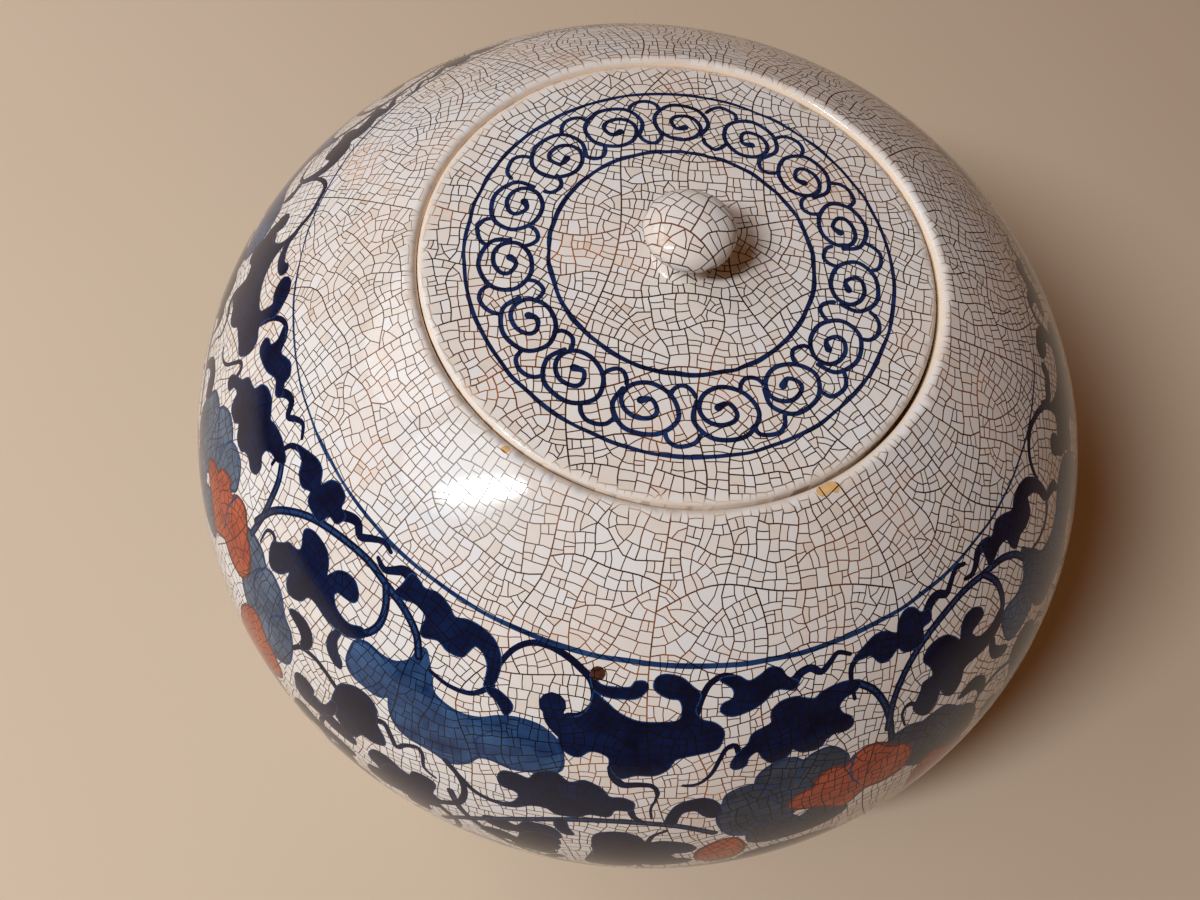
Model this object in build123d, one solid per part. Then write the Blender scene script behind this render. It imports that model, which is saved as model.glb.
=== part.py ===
"""Covered rice bowl in crackle-glazed stoneware: a squat round bowl, an inset lid and a ball knob.

Millimetres, +Z up. The origin is the centre of the foot ring's resting plane, on the turning axis.
Every piece is a solid of revolution about Z. The lid drops into a recess in the bowl's mouth and
rests on an inner ledge; a ring under the lid keeps it centred. The knob stands on the lid's dome.
"""

from build123d import *
import math
import os

# Bowl, outside: two half ellipses that meet at the widest circle
BODY_RADIUS = 126.0
EQUATOR_Z = 80.0
UPPER_RISE = 94.7
LOWER_DROP = 80.0

# Bowl, inside: the same construction, thicker towards the foot
INNER_RADIUS = 120.0
INNER_RISE = 88.0
INNER_DROP = 70.0

# Foot ring
FOOT_OUTER_RADIUS = 62.0
FOOT_INNER_RADIUS = 54.0
FOOT_RECESS = 4.0
FOOT_ROUNDING = 1.5

# Mouth: the level where lid and rim meet, the recess for the lid and the ledge that carries it
MOUTH_Z = 160.0
MOUTH_RADIUS = 61.4
SEAT_DEPTH = 6.0
LEDGE_RADIUS = 55.2
LEDGE_THICKNESS = 5.0
LEDGE_BLEND_RADIUS = 84.0
RIM_ROUNDING = 3.0
LEDGE_ROUNDING = 1.0

# Lid: a shallow dome on a flat seat, with a centring ring below it
LID_GAP = 0.8
LID_RADIUS = MOUTH_RADIUS - LID_GAP
DOME_CROWN = 4.3
DOME_RADIUS = 468.0
LID_THICKNESS = 5.5
LID_ROUNDING = 2.2
RING_OUTER_RADIUS = 54.0
RING_INNER_RADIUS = 50.0
RING_DEPTH = 8.0
RING_ROUNDING = 1.2

# Knob: a flattened ball on a waisted neck, stuck to the middle of the lid
CAP_RADIUS = 10.75
CAP_HALF_HEIGHT = 5.3
CAP_CENTRE_ABOVE_MOUTH = 14.0
NECK_RADIUS = 6.0
NECK_FOOT_RADIUS = 7.6
NECK_FOOT_HEIGHT = 1.8

# Construction: spans in each elliptical curve, and spare height for cutting shapes
ARC_SPANS = 8
ROOM_BELOW = 3.0


def ellipse_height(radius, half_width, half_height):
    """Height above an ellipse's centre of its point at this radius."""
    return half_height * math.sqrt(1.0 - (radius / half_width) ** 2)


def ellipse_angle(radius, half_width):
    """Parametric angle, in degrees, of an ellipse's point at this radius."""
    return math.degrees(math.acos(radius / half_width))


def ellipse_arc(start_angle, end_angle, half_width, half_height, centre_z):
    """Smooth curve along an ellipse about the axis between two parametric angles in degrees."""
    points = []
    tangents = []
    for i in range(ARC_SPANS + 1):
        angle = math.radians(start_angle + (end_angle - start_angle) * i / ARC_SPANS)
        cosine = math.cos(angle)
        sine = math.sin(angle)
        points.append((half_width * cosine, centre_z + half_height * sine))
        tangents.append((-half_width * sine, half_height * cosine))
    return Spline(*points, tangents=[tangents[0], tangents[-1]])


def upper_arc(outer_radius, inner_radius, half_width, half_height, centre_z):
    """Arc of an ellipse above its centre, from a wide radius to a narrow one."""
    start = ellipse_angle(outer_radius, half_width)
    end = ellipse_angle(inner_radius, half_width)
    return ellipse_arc(start, end, half_width, half_height, centre_z)


def lower_arc(inner_radius, outer_radius, half_width, half_height, centre_z):
    """Arc of an ellipse below its centre, from a narrow radius to a wide one."""
    start = -ellipse_angle(inner_radius, half_width)
    end = -ellipse_angle(outer_radius, half_width)
    return ellipse_arc(start, end, half_width, half_height, centre_z)


def turned(edges):
    """Solid of revolution of a closed outline drawn as (radius, height)."""
    face = Plane.XZ * make_face(edges)
    return revolve(face, Axis.Z, 360)


def circles_near(solid, radius, height):
    """Horizontal circular edges of a solid at this radius and height."""
    near = 0.05
    found = []
    for edge in solid.edges().filter_by(GeomType.CIRCLE):
        at_height = abs(edge.bounding_box().center().Z - height) < near
        level = edge.bounding_box().size.Z < near
        if level and at_height and abs(edge.radius - radius) < near:
            found.append(edge)
    return found


def make_bowl():
    seat_z = MOUTH_Z - SEAT_DEPTH
    ledge_low_z = seat_z - LEDGE_THICKNESS
    foot_top_z = EQUATOR_Z - ellipse_height(FOOT_OUTER_RADIUS, BODY_RADIUS, LOWER_DROP)
    rim_z = EQUATOR_Z + ellipse_height(MOUTH_RADIUS, BODY_RADIUS, UPPER_RISE)
    blend_z = EQUATOR_Z + ellipse_height(LEDGE_BLEND_RADIUS, INNER_RADIUS, INNER_RISE)
    floor_z = EQUATOR_Z - INNER_DROP
    outline = [
        Line((0, FOOT_RECESS), (FOOT_INNER_RADIUS, FOOT_RECESS)),
        Line((FOOT_INNER_RADIUS, FOOT_RECESS), (FOOT_INNER_RADIUS, 0)),
        Line((FOOT_INNER_RADIUS, 0), (FOOT_OUTER_RADIUS, 0)),
        Line((FOOT_OUTER_RADIUS, 0), (FOOT_OUTER_RADIUS, foot_top_z)),
        lower_arc(FOOT_OUTER_RADIUS, BODY_RADIUS, BODY_RADIUS, LOWER_DROP, EQUATOR_Z),
        upper_arc(BODY_RADIUS, MOUTH_RADIUS, BODY_RADIUS, UPPER_RISE, EQUATOR_Z),
        Line((MOUTH_RADIUS, rim_z), (MOUTH_RADIUS, seat_z)),
        Line((MOUTH_RADIUS, seat_z), (LEDGE_RADIUS, seat_z)),
        Line((LEDGE_RADIUS, seat_z), (LEDGE_RADIUS, ledge_low_z)),
        Line((LEDGE_RADIUS, ledge_low_z), (LEDGE_BLEND_RADIUS, blend_z)),
        upper_arc(INNER_RADIUS, LEDGE_BLEND_RADIUS, INNER_RADIUS, INNER_RISE, EQUATOR_Z),
        lower_arc(0, INNER_RADIUS, INNER_RADIUS, INNER_DROP, EQUATOR_Z),
        Line((0, floor_z), (0, FOOT_RECESS)),
    ]
    bowl = turned(outline)
    bowl = fillet(circles_near(bowl, MOUTH_RADIUS, rim_z), RIM_ROUNDING)
    ledge = circles_near(bowl, LEDGE_RADIUS, seat_z) + circles_near(bowl, LEDGE_RADIUS, ledge_low_z)
    bowl = fillet(ledge, LEDGE_ROUNDING)
    foot = circles_near(bowl, FOOT_OUTER_RADIUS, 0) + circles_near(bowl, FOOT_INNER_RADIUS, 0)
    return fillet(foot, FOOT_ROUNDING)


def dome_ball():
    """Ball whose top is the lid's domed upper surface."""
    return Pos(0, 0, MOUTH_Z + DOME_CROWN - DOME_RADIUS) * Sphere(DOME_RADIUS)


def disc(radius, low_z, high_z):
    """Plain cylinder about the axis between two heights."""
    height = high_z - low_z
    return Pos(0, 0, low_z + height / 2) * Cylinder(radius, height)


def make_lid():
    seat_z = MOUTH_Z - SEAT_DEPTH
    ring_low_z = seat_z - RING_DEPTH
    top_z = MOUTH_Z + DOME_CROWN + ROOM_BELOW
    plate = disc(LID_RADIUS, seat_z, top_z) & dome_ball()
    ring = disc(RING_OUTER_RADIUS, ring_low_z, seat_z)
    hollow_ball = Pos(0, 0, -LID_THICKNESS) * dome_ball()
    hollow = disc(RING_INNER_RADIUS, ring_low_z, top_z) & hollow_ball
    lid = plate + ring - hollow
    edge_drop = DOME_RADIUS - math.sqrt(DOME_RADIUS**2 - LID_RADIUS**2)
    edge_z = MOUTH_Z + DOME_CROWN - edge_drop
    lid = fillet(circles_near(lid, LID_RADIUS, edge_z), LID_ROUNDING)
    lid = fillet(circles_near(lid, LID_RADIUS, seat_z), LEDGE_ROUNDING)
    ring_edges = circles_near(lid, RING_OUTER_RADIUS, ring_low_z)
    ring_edges += circles_near(lid, RING_INNER_RADIUS, ring_low_z)
    return fillet(ring_edges, RING_ROUNDING)


def make_knob():
    cap_z = MOUTH_Z + CAP_CENTRE_ABOVE_MOUTH
    dome_z = MOUTH_Z + DOME_CROWN
    foot_z = dome_z + NECK_FOOT_HEIGHT
    neck_top_z = cap_z - ellipse_height(NECK_RADIUS, CAP_RADIUS, CAP_HALF_HEIGHT)
    low_z = dome_z - ROOM_BELOW
    outline = [
        Line((0, low_z), (NECK_FOOT_RADIUS, low_z)),
        Line((NECK_FOOT_RADIUS, low_z), (NECK_FOOT_RADIUS, dome_z)),
        Spline(
            (NECK_FOOT_RADIUS, dome_z),
            (NECK_RADIUS, foot_z),
            tangents=[(-1, 1), (0, 1)],
        ),
        Line((NECK_RADIUS, foot_z), (NECK_RADIUS, neck_top_z)),
        lower_arc(NECK_RADIUS, CAP_RADIUS, CAP_RADIUS, CAP_HALF_HEIGHT, cap_z),
        upper_arc(CAP_RADIUS, 0, CAP_RADIUS, CAP_HALF_HEIGHT, cap_z),
        Line((0, cap_z + CAP_HALF_HEIGHT), (0, low_z)),
    ]
    return turned(outline) - dome_ball()


os.makedirs("parts", exist_ok=True)
export_step(make_bowl(), "parts/bowl.step")
export_step(make_lid(), "parts/lid.step")
export_step(make_knob(), "parts/knob.step")
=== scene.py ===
"""Looks of the covered rice bowl: crackle glaze, underglaze painting and bare clay on the CAD pieces.

Lengths are millimetres until a mesh is made, then metres. Bearings are degrees round the bowl's axis,
with -90 at the front. A chart is a flat map of a turned surface. Crackle cells and painted shapes are
laid out on a chart, cut into one triangle mesh there, and lifted onto the surface.
"""

import bisect
import math
import random

import bpy
from mathutils import Matrix, Quaternion, Vector
from mathutils.geometry import delaunay_2d_cdt


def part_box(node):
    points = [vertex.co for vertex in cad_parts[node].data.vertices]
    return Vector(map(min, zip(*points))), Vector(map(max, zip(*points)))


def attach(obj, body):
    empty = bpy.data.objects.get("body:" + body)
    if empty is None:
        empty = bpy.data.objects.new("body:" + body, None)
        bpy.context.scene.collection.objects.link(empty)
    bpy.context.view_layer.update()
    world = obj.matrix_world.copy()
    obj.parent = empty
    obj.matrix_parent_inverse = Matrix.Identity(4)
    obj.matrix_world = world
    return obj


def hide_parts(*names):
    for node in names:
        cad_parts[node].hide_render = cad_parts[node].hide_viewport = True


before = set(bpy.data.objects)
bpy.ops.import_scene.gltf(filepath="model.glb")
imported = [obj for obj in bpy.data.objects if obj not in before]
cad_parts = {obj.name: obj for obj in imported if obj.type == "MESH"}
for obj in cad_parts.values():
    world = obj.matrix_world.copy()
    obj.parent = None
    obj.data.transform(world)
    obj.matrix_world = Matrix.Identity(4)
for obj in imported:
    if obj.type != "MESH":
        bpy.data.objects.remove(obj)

MM = 0.001
FULL_TURN = 2 * math.pi
SEED = 41
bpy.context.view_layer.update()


def box_mm(node):
    """Lowest and highest corners of a CAD node, in millimetres."""
    low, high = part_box(node)
    return [v / MM for v in low], [v / MM for v in high]


_, BOWL_HIGH = box_mm("bowl")
LID_LOW, LID_HIGH = box_mm("lid")
_, KNOB_HIGH = box_mm("knob")

# Bowl outline, as in the CAD: two half ellipses, a rounded rim, a ledge for the lid and a foot ring
BODY_RADIUS = BOWL_HIGH[0]
EQUATOR_Z = 80.0
UPPER_RISE = 94.7
LOWER_DROP = 80.0
INNER_RADIUS = 120.0
INNER_RISE = 88.0
INNER_DROP = 70.0
MOUTH_RADIUS = 61.4
RIM_ROUNDING = 1.8  # glaze fills the rim's corner out, so it is sharper than the clay below
SEAT_Z = 154.0
LEDGE_RADIUS = 55.2
LEDGE_LOW_Z = 149.0
LEDGE_BLEND_RADIUS = 84.0
FOOT_OUTER_RADIUS = 62.0
FOOT_INNER_RADIUS = 54.0
FOOT_RECESS = 4.0
FOOT_ROUNDING = 1.5
FOOT_BARE = 1.5
LEDGE_ROUNDING = 1.0
LEDGE_GLAZE_RISE = 0.3

# Lid outline. The dome is flatter than the clay's, so that its edge comes level with the lip
LID_RADIUS = LID_HIGH[0] + 0.35  # glaze closes some of the CAD's clearance
LID_SLIP = (-0.38, 0.1, 0)  # the lid lies against one side of the mouth
LID_TOP_Z = LID_HIGH[2]
DOME_RADIUS = 640.0
LID_ROUNDING = 1.2
LID_THICKNESS = 5.5
RING_OUTER_RADIUS = 54.0
RING_INNER_RADIUS = 50.0
RING_LOW_Z = LID_LOW[2]
SMALL_ROUNDING = 1.1
LID_BARE = 1.2

# Knob outline
CAP_RADIUS = KNOB_HIGH[0]
CAP_HALF_HEIGHT = 5.3
CAP_Z = KNOB_HIGH[2] - CAP_HALF_HEIGHT
NECK_RADIUS = 6.0
NECK_FOOT_RADIUS = 7.6
FLARE_HEIGHT = 2.0
FLARE_POWER = 2.2
BASE_INSET = 0.3
BASE_DROP = 0.02

# Points along each curve of the outlines, and round the turned pieces
RIM_STEPS = 24
WALL_STEPS = 260
HIDDEN_STEPS = 20
LIP_STEPS = 6
CORE_STEPS = 110
DOME_STEPS = 60
LID_EDGE_STEPS = 14
CAP_STEPS = 70
FLARE_STEPS = 8
BOWL_SEGMENTS = 256
LID_SEGMENTS = 160

# Glaze: the strip at the lip that belongs to the body, how thick the outer shells are modelled, how far
# the body is set back under them, the plain strips at the foot and round the lid's edge, and how far the
# crackle is laid out beyond the lid's and the knob's sheet
BARE_LIP = 1.3
SHELL_DEPTH = 1.0
CORE_INSET = 0.8 * SHELL_DEPTH
FOOT_STRIP = 1.0
LID_EDGE_STRIP = 0.4
CRACKLE_OVERHANG = 1.0

# The wall's chart, the sectors it is cut into, and the uneven seam where its crackle closes on itself
MAP_RADIUS = 110.0
SECTOR_COUNT = 4
FIRST_BEARING = -135.0
SEAM_BEARING = 90
SEAM_STEPS = 60

# Crackle: how large the cells are across, and how wide the cracks between them
WALL_CELL = 2.8
LID_CELL = 2.8
KNOB_CELL = 3.5
CRACK_OLD = 0.33
CRACK_MIDDLE = 0.29
CRACK_YOUNG = 0.24
OLD_CRACK_LENGTH = 26
MIDDLE_CRACK_LENGTH = 9
CRACK_STEP = 2.8

# Crackle: how much the cells differ in size, and how slender a cell may be before it is broken sooner
SIZE_SHIFT = 0.12
SIZE_SPREAD = 0.3
SLENDER = 1.9

# Crackle: how far a crack strays from the middle of its cell, from square and from a straight line, and
# how often a break is tried, the first few times with a curved crack
OFF_CENTRE = 0.16
TURN_SPREAD = 0.1
LARGE_AREA = 150
LARGE_SWAY = 0.11
SMALL_SWAY = 0.05
BENDING = 0.8
BREAK_TRIES = 12
CURVED_TRIES = 4

# Crackle: each cell's share of stain, which is stronger in small cells
TONE = 0.38
TONE_SPREAD = 0.13
SMALL_CELL = 0.55
SMALL_CELL_TONE = 0.35


# ---------------------------------------------------------------- outlines of turned surfaces


def ellipse_line(start_deg, end_deg, half_width, half_height, centre_z, count):
    """Points of an ellipse about the axis, as (radius, height), between two parametric angles."""
    points = []
    for i in range(count + 1):
        angle = math.radians(start_deg + (end_deg - start_deg) * i / count)
        points.append((half_width * math.cos(angle), centre_z + half_height * math.sin(angle)))
    return points


def arc_line(centre_r, centre_z, radius, start_deg, end_deg, count):
    """Points of a circular arc, as (radius, height)."""
    points = []
    for i in range(count + 1):
        angle = math.radians(start_deg + (end_deg - start_deg) * i / count)
        points.append((centre_r + radius * math.cos(angle), centre_z + radius * math.sin(angle)))
    return points


def ellipse_deg(radius, half_width):
    """Parametric angle of an ellipse's point at this radius."""
    return math.degrees(math.acos(min(1.0, radius / half_width)))


def circle_line(radius, count):
    """Points round a circle about the origin, as (x, y)."""
    angles = [FULL_TURN * i / count for i in range(count)]
    return [(radius * math.cos(a), radius * math.sin(a)) for a in angles]


def line_length(points):
    """Length of a broken line."""
    return sum(math.dist(a, b) for a, b in zip(points, points[1:]))


class Path:
    """A turned surface's outline, looked up by distance along it."""

    def __init__(self, points, start=0.0):
        self.points = points
        self.marks = [start]
        for a, b in zip(points, points[1:]):
            self.marks.append(self.marks[-1] + math.dist(a, b))
        self.normals = []
        for i in range(len(points)):
            a = points[max(0, i - 1)]
            b = points[min(len(points) - 1, i + 1)]
            length = math.dist(a, b)
            self.normals.append(((a[1] - b[1]) / length, (b[0] - a[0]) / length))

    def at(self, distance):
        """Radius, height, and the outward normal's radial and upward parts."""
        i = bisect.bisect_right(self.marks, distance) - 1
        i = max(0, min(len(self.points) - 2, i))
        span = self.marks[i + 1] - self.marks[i]
        t = max(0.0, min(1.0, (distance - self.marks[i]) / span))
        (r0, z0), (r1, z1) = self.points[i], self.points[i + 1]
        (a0, b0), (a1, b1) = self.normals[i], self.normals[i + 1]
        nr = a0 + (a1 - a0) * t
        nz = b0 + (b1 - b0) * t
        size = math.hypot(nr, nz)
        return r0 + (r1 - r0) * t, z0 + (z1 - z0) * t, nr / size, nz / size


def rim_tangent_deg():
    """Parametric angle at which the wall's ellipse runs into the rim's rounding."""
    centre_r = MOUTH_RADIUS + RIM_ROUNDING
    low, high = 30.0, 89.0
    for _ in range(40):
        middle = (low + high) / 2
        angle = math.radians(middle)
        across = math.cos(angle) / BODY_RADIUS
        up = math.sin(angle) / UPPER_RISE
        reach = BODY_RADIUS * math.cos(angle) - RIM_ROUNDING * across / math.hypot(across, up)
        if reach > centre_r:
            low = middle
        else:
            high = middle
    return low


def wall_path():
    """The bowl's outside from deep in the mouth, over the rim and down to the foot ring.
    Distances count from where the wall's ellipse would meet the mouth if the rim were sharp."""
    tangent = rim_tangent_deg()
    angle = math.radians(tangent)
    normal = math.atan2(math.sin(angle) / UPPER_RISE, math.cos(angle) / BODY_RADIUS)
    touch_z = EQUATOR_Z + UPPER_RISE * math.sin(angle)
    centre_r = MOUTH_RADIUS + RIM_ROUNDING
    centre_z = touch_z - RIM_ROUNDING * math.sin(normal)
    rim = arc_line(centre_r, centre_z, RIM_ROUNDING, 180, math.degrees(normal), RIM_STEPS)
    upper = ellipse_line(tangent, 0, BODY_RADIUS, UPPER_RISE, EQUATOR_Z, WALL_STEPS)
    foot_deg = ellipse_deg(FOOT_OUTER_RADIUS, BODY_RADIUS)
    lower = ellipse_line(0, -foot_deg, BODY_RADIUS, LOWER_DROP, EQUATOR_Z, WALL_STEPS)
    mouth_deg = ellipse_deg(MOUTH_RADIUS, BODY_RADIUS)
    hidden = ellipse_line(mouth_deg, tangent, BODY_RADIUS, UPPER_RISE, EQUATOR_Z, HIDDEN_STEPS)
    start = line_length(hidden) - line_length(rim)
    return Path(rim + upper[1:] + lower[1:], start)


def lid_path():
    """The lid's top from the middle outwards and round its edge."""
    edge = LID_RADIUS - LID_ROUNDING
    ball_z = LID_TOP_Z - DOME_RADIUS
    tilt = math.degrees(math.asin(edge / (DOME_RADIUS - LID_ROUNDING)))
    dome = arc_line(0, ball_z, DOME_RADIUS, 90, 90 - tilt, DOME_STEPS)
    lean = math.radians(90 - tilt)
    centre_z = ball_z + (DOME_RADIUS - LID_ROUNDING) * math.sin(lean)
    rounding = arc_line(edge, centre_z, LID_ROUNDING, 90 - tilt, 0, LID_EDGE_STEPS)
    return Path(dome + rounding[1:])


def knob_path():
    """The knob from the top of the ball, round under it and down the neck to the lid."""
    neck_deg = ellipse_deg(NECK_RADIUS, CAP_RADIUS)
    cap = ellipse_line(90, -neck_deg, CAP_RADIUS, CAP_HALF_HEIGHT, CAP_Z, CAP_STEPS)
    dome_z = LID_TOP_Z - (DOME_RADIUS - math.sqrt(DOME_RADIUS**2 - NECK_FOOT_RADIUS**2))
    flare = []
    for i in range(FLARE_STEPS + 1):
        t = i / FLARE_STEPS
        radius = NECK_RADIUS + (NECK_FOOT_RADIUS - NECK_RADIUS) * t**FLARE_POWER
        flare.append((radius, dome_z + FLARE_HEIGHT * (1 - t)))
    return Path(cap + flare)


# ---------------------------------------------------------------- charts


class WallChart:
    """Map of the bowl's wall: x is the bearing times MAP_RADIUS, y is the distance down the wall."""

    def __init__(self, path):
        self.path = path

    def place(self, x, y):
        """Point on the surface and the surface's normal there."""
        r, z, nr, nz = self.path.at(y)
        c = math.cos(x / MAP_RADIUS)
        s = math.sin(x / MAP_RADIUS)
        return (r * c, r * s, z), (nr * c, nr * s, nz)

    def stretch(self, x, y):
        """The 2 by 2 matrix that turns a small step on the chart into one on the surface, as xx, xy, yy."""
        return self.path.at(y)[0] / MAP_RADIUS, 0.0, 1.0

    def crack_scale(self, x):
        """Cracks are drawn wider, so darker, on the right and at the back than in front: painted shade away
        from the key light.
        """
        return 1.1 + 0.2 * math.cos(x / MAP_RADIUS - 0.7)


class CapChart:
    """Map of a round top, seen from above, with distances from the axis measured along the surface."""

    def __init__(self, path):
        self.path = path

    def place(self, x, y):
        """Point on the surface and the surface's normal there."""
        reach = math.hypot(x, y)
        r, z, nr, nz = self.path.at(reach)
        if reach < 1e-9:
            return (0.0, 0.0, z), (0.0, 0.0, 1.0)
        return (r * x / reach, r * y / reach, z), (nr * x / reach, nr * y / reach, nz)

    def stretch(self, x, y):
        """The matrix as for WallChart. Only rings are stretched: lengths along a radius are true."""
        reach = math.hypot(x, y)
        if reach < 1e-3:
            return 1.0, 0.0, 1.0
        k = self.path.at(reach)[0] / reach
        c = x / reach
        s = y / reach
        return c * c + k * s * s, (1 - k) * c * s, s * s + k * c * c

    def crack_scale(self, x):
        """The lid's and the knob's cracks are alike all round."""
        return 1.13


class Local:
    """Flat coordinates of the surface round one point of a chart, in true millimetres."""

    def __init__(self, chart, x, y):
        self.origin = (x, y)
        self.xx, self.xy, self.yy = chart.stretch(x, y)
        self.det = self.xx * self.yy - self.xy**2

    def enter(self, p):
        """From the chart to the flat coordinates."""
        x = p[0] - self.origin[0]
        y = p[1] - self.origin[1]
        return self.xx * x + self.xy * y, self.xy * x + self.yy * y

    def leave(self, p):
        """Back to the chart."""
        x = (self.yy * p[0] - self.xy * p[1]) / self.det
        y = (self.xx * p[1] - self.xy * p[0]) / self.det
        return x + self.origin[0], y + self.origin[1]


# ---------------------------------------------------------------- crackle


def polygon_facts(points):
    """Area, centroid, direction of the long axis and slenderness of a polygon."""
    area = cx = cy = 0.0
    for (x0, y0), (x1, y1) in zip(points, points[1:] + points[:1]):
        cross = x0 * y1 - x1 * y0
        area += cross / 2
        cx += (x0 + x1) * cross / 6
        cy += (y0 + y1) * cross / 6
    if abs(area) < 1e-9:
        return 0.0, points[0], 0.0, 1.0
    cx /= area
    cy /= area
    xx = yy = xy = 0.0
    for (x0, y0), (x1, y1) in zip(points, points[1:] + points[:1]):
        x0, x1, y0, y1 = x0 - cx, x1 - cx, y0 - cy, y1 - cy
        cross = x0 * y1 - x1 * y0
        xx += cross * (x0 * x0 + x0 * x1 + x1 * x1)
        yy += cross * (y0 * y0 + y0 * y1 + y1 * y1)
        xy += cross * (x0 * y1 + 2 * x0 * y0 + 2 * x1 * y1 + x1 * y0) / 2
    if area < 0:
        xx, yy, xy = -xx, -yy, -xy
    spread = math.hypot(xx - yy, 2 * xy)
    slender = math.sqrt((xx + yy + spread) / max(1e-9, xx + yy - spread))
    return abs(area), (cx, cy), 0.5 * math.atan2(2 * xy, xx - yy), slender


def crack_width(length):
    """Long cracks came first and have opened the most."""
    if length > OLD_CRACK_LENGTH:
        return CRACK_OLD
    return CRACK_MIDDLE if length > MIDDLE_CRACK_LENGTH else CRACK_YOUNG


def cut_hits(points, anchor, direction):
    """Nearest hits on a polygon's edges behind and ahead of an anchor: (edge number, place), or None."""
    dx, dy = direction
    hits = []
    count = len(points)
    for i in range(count):
        x0, y0 = points[i][0] - anchor[0], points[i][1] - anchor[1]
        x1, y1 = points[(i + 1) % count][0] - anchor[0], points[(i + 1) % count][1] - anchor[1]
        side0 = dx * y0 - dy * x0
        side1 = dx * y1 - dy * x1
        if (side0 > 0) == (side1 > 0):
            continue
        t = side0 / (side0 - side1)
        x, y = x0 + (x1 - x0) * t, y0 + (y1 - y0) * t
        hits.append((dx * x + dy * y, i, (x + anchor[0], y + anchor[1])))
    behind = [h for h in hits if h[0] < 0]
    ahead = [h for h in hits if h[0] >= 0]
    if not behind or not ahead:
        return None
    return max(behind)[1:], min(ahead)[1:]


def middle_of(points):
    """Mean of a polygon's corners."""
    return [sum(p[k] for p in points) / len(points) for k in (0, 1)]


def unit(x, y):
    """The direction as a unit vector."""
    size = math.hypot(x, y) or 1.0
    return x / size, y / size


def inward(points, i):
    """Unit normal of a counterclockwise polygon's edge, pointing inside."""
    a, b = points[i], points[(i + 1) % len(points)]
    return unit(a[1] - b[1], b[0] - a[0])


def leaning(straight, square, share):
    """Direction between a crack's straight run and square to the edge it meets. Where the two are far
    apart, the crack turns less."""
    if straight[0] * square[0] + straight[1] * square[1] < 0.2:
        share *= 0.4
    keep = 1 - share
    return unit(straight[0] * keep + square[0] * share, straight[1] * keep + square[1] * share)


def crack_line(a, b, leave, arrive, sway):
    """Points between a and b on a curve with these end directions, swaying a little on long runs."""
    length = math.dist(a, b)
    pieces = max(2, math.ceil(length / CRACK_STEP))
    line = []
    across = unit(a[1] - b[1], b[0] - a[0])
    for k in range(1, pieces):
        t = k / pieces
        from_a = 2 * t**3 - 3 * t**2 + 1
        out = (t**3 - 2 * t**2 + t) * length
        into = (t**3 - t**2) * length
        bow = length * sum(size * math.sin(math.pi * (n + 1) * t) for n, size in enumerate(sway))
        x = a[0] * from_a + b[0] * (1 - from_a) + leave[0] * out + arrive[0] * into + across[0] * bow
        y = a[1] * from_a + b[1] * (1 - from_a) + leave[1] * out + arrive[1] * into + across[1] * bow
        line.append((x, y))
    return line


def leaves(points, path):
    """Whether a path between two places on a polygon's edge runs outside the polygon."""
    nudge = 0.02
    start, end = path[0], path[-1]
    path = list(path)
    path[0] = (start[0] + nudge * (path[1][0] - start[0]), start[1] + nudge * (path[1][1] - start[1]))
    path[-1] = (end[0] + nudge * (path[-2][0] - end[0]), end[1] + nudge * (path[-2][1] - end[1]))
    for a, b in zip(path, path[1:]):
        for c, d in zip(points, points[1:] + points[:1]):
            if segments_cross(a, b, c, d):
                return True
    return False


def break_cell(points, widths, anchor, angle, sway, bending):
    """Two parts of a polygon on either side of a crack that meets both sides nearly square, or None."""
    hits = cut_hits(points, anchor, (math.cos(angle), math.sin(angle)))
    if hits is None:
        return None
    (i, _), (j, _) = hits
    one, two = inward(points, i), inward(points, j)
    straight = (math.cos(angle), math.sin(angle))
    square = unit(one[0] - two[0] + 0.4 * straight[0], one[1] - two[1] + 0.4 * straight[1])
    hits = cut_hits(points, anchor, square)
    if hits is None:
        return None
    (i, a), (j, b) = hits
    if i == j:
        return None
    straight = unit(b[0] - a[0], b[1] - a[1])
    leave = leaning(straight, inward(points, i), BENDING * bending)
    arrive = leaning(straight, tuple(-v for v in inward(points, j)), BENDING * bending)
    line = crack_line(a, b, leave, arrive, [size * bending for size in sway])
    if leaves(points, [a, *line, b]):
        return None
    crack = [crack_width(math.dist(a, b))] * (len(line) + 1)
    if i > j:
        i, j, a, b, line = j, i, b, a, line[::-1]
    first = [a] + points[i + 1 : j + 1] + [b] + line[::-1]
    second = [b] + points[j + 1 :] + points[: i + 1] + [a] + line
    return (first, widths[i : j + 1] + crack), (second, widths[j:] + widths[: i + 1] + crack)


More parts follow.
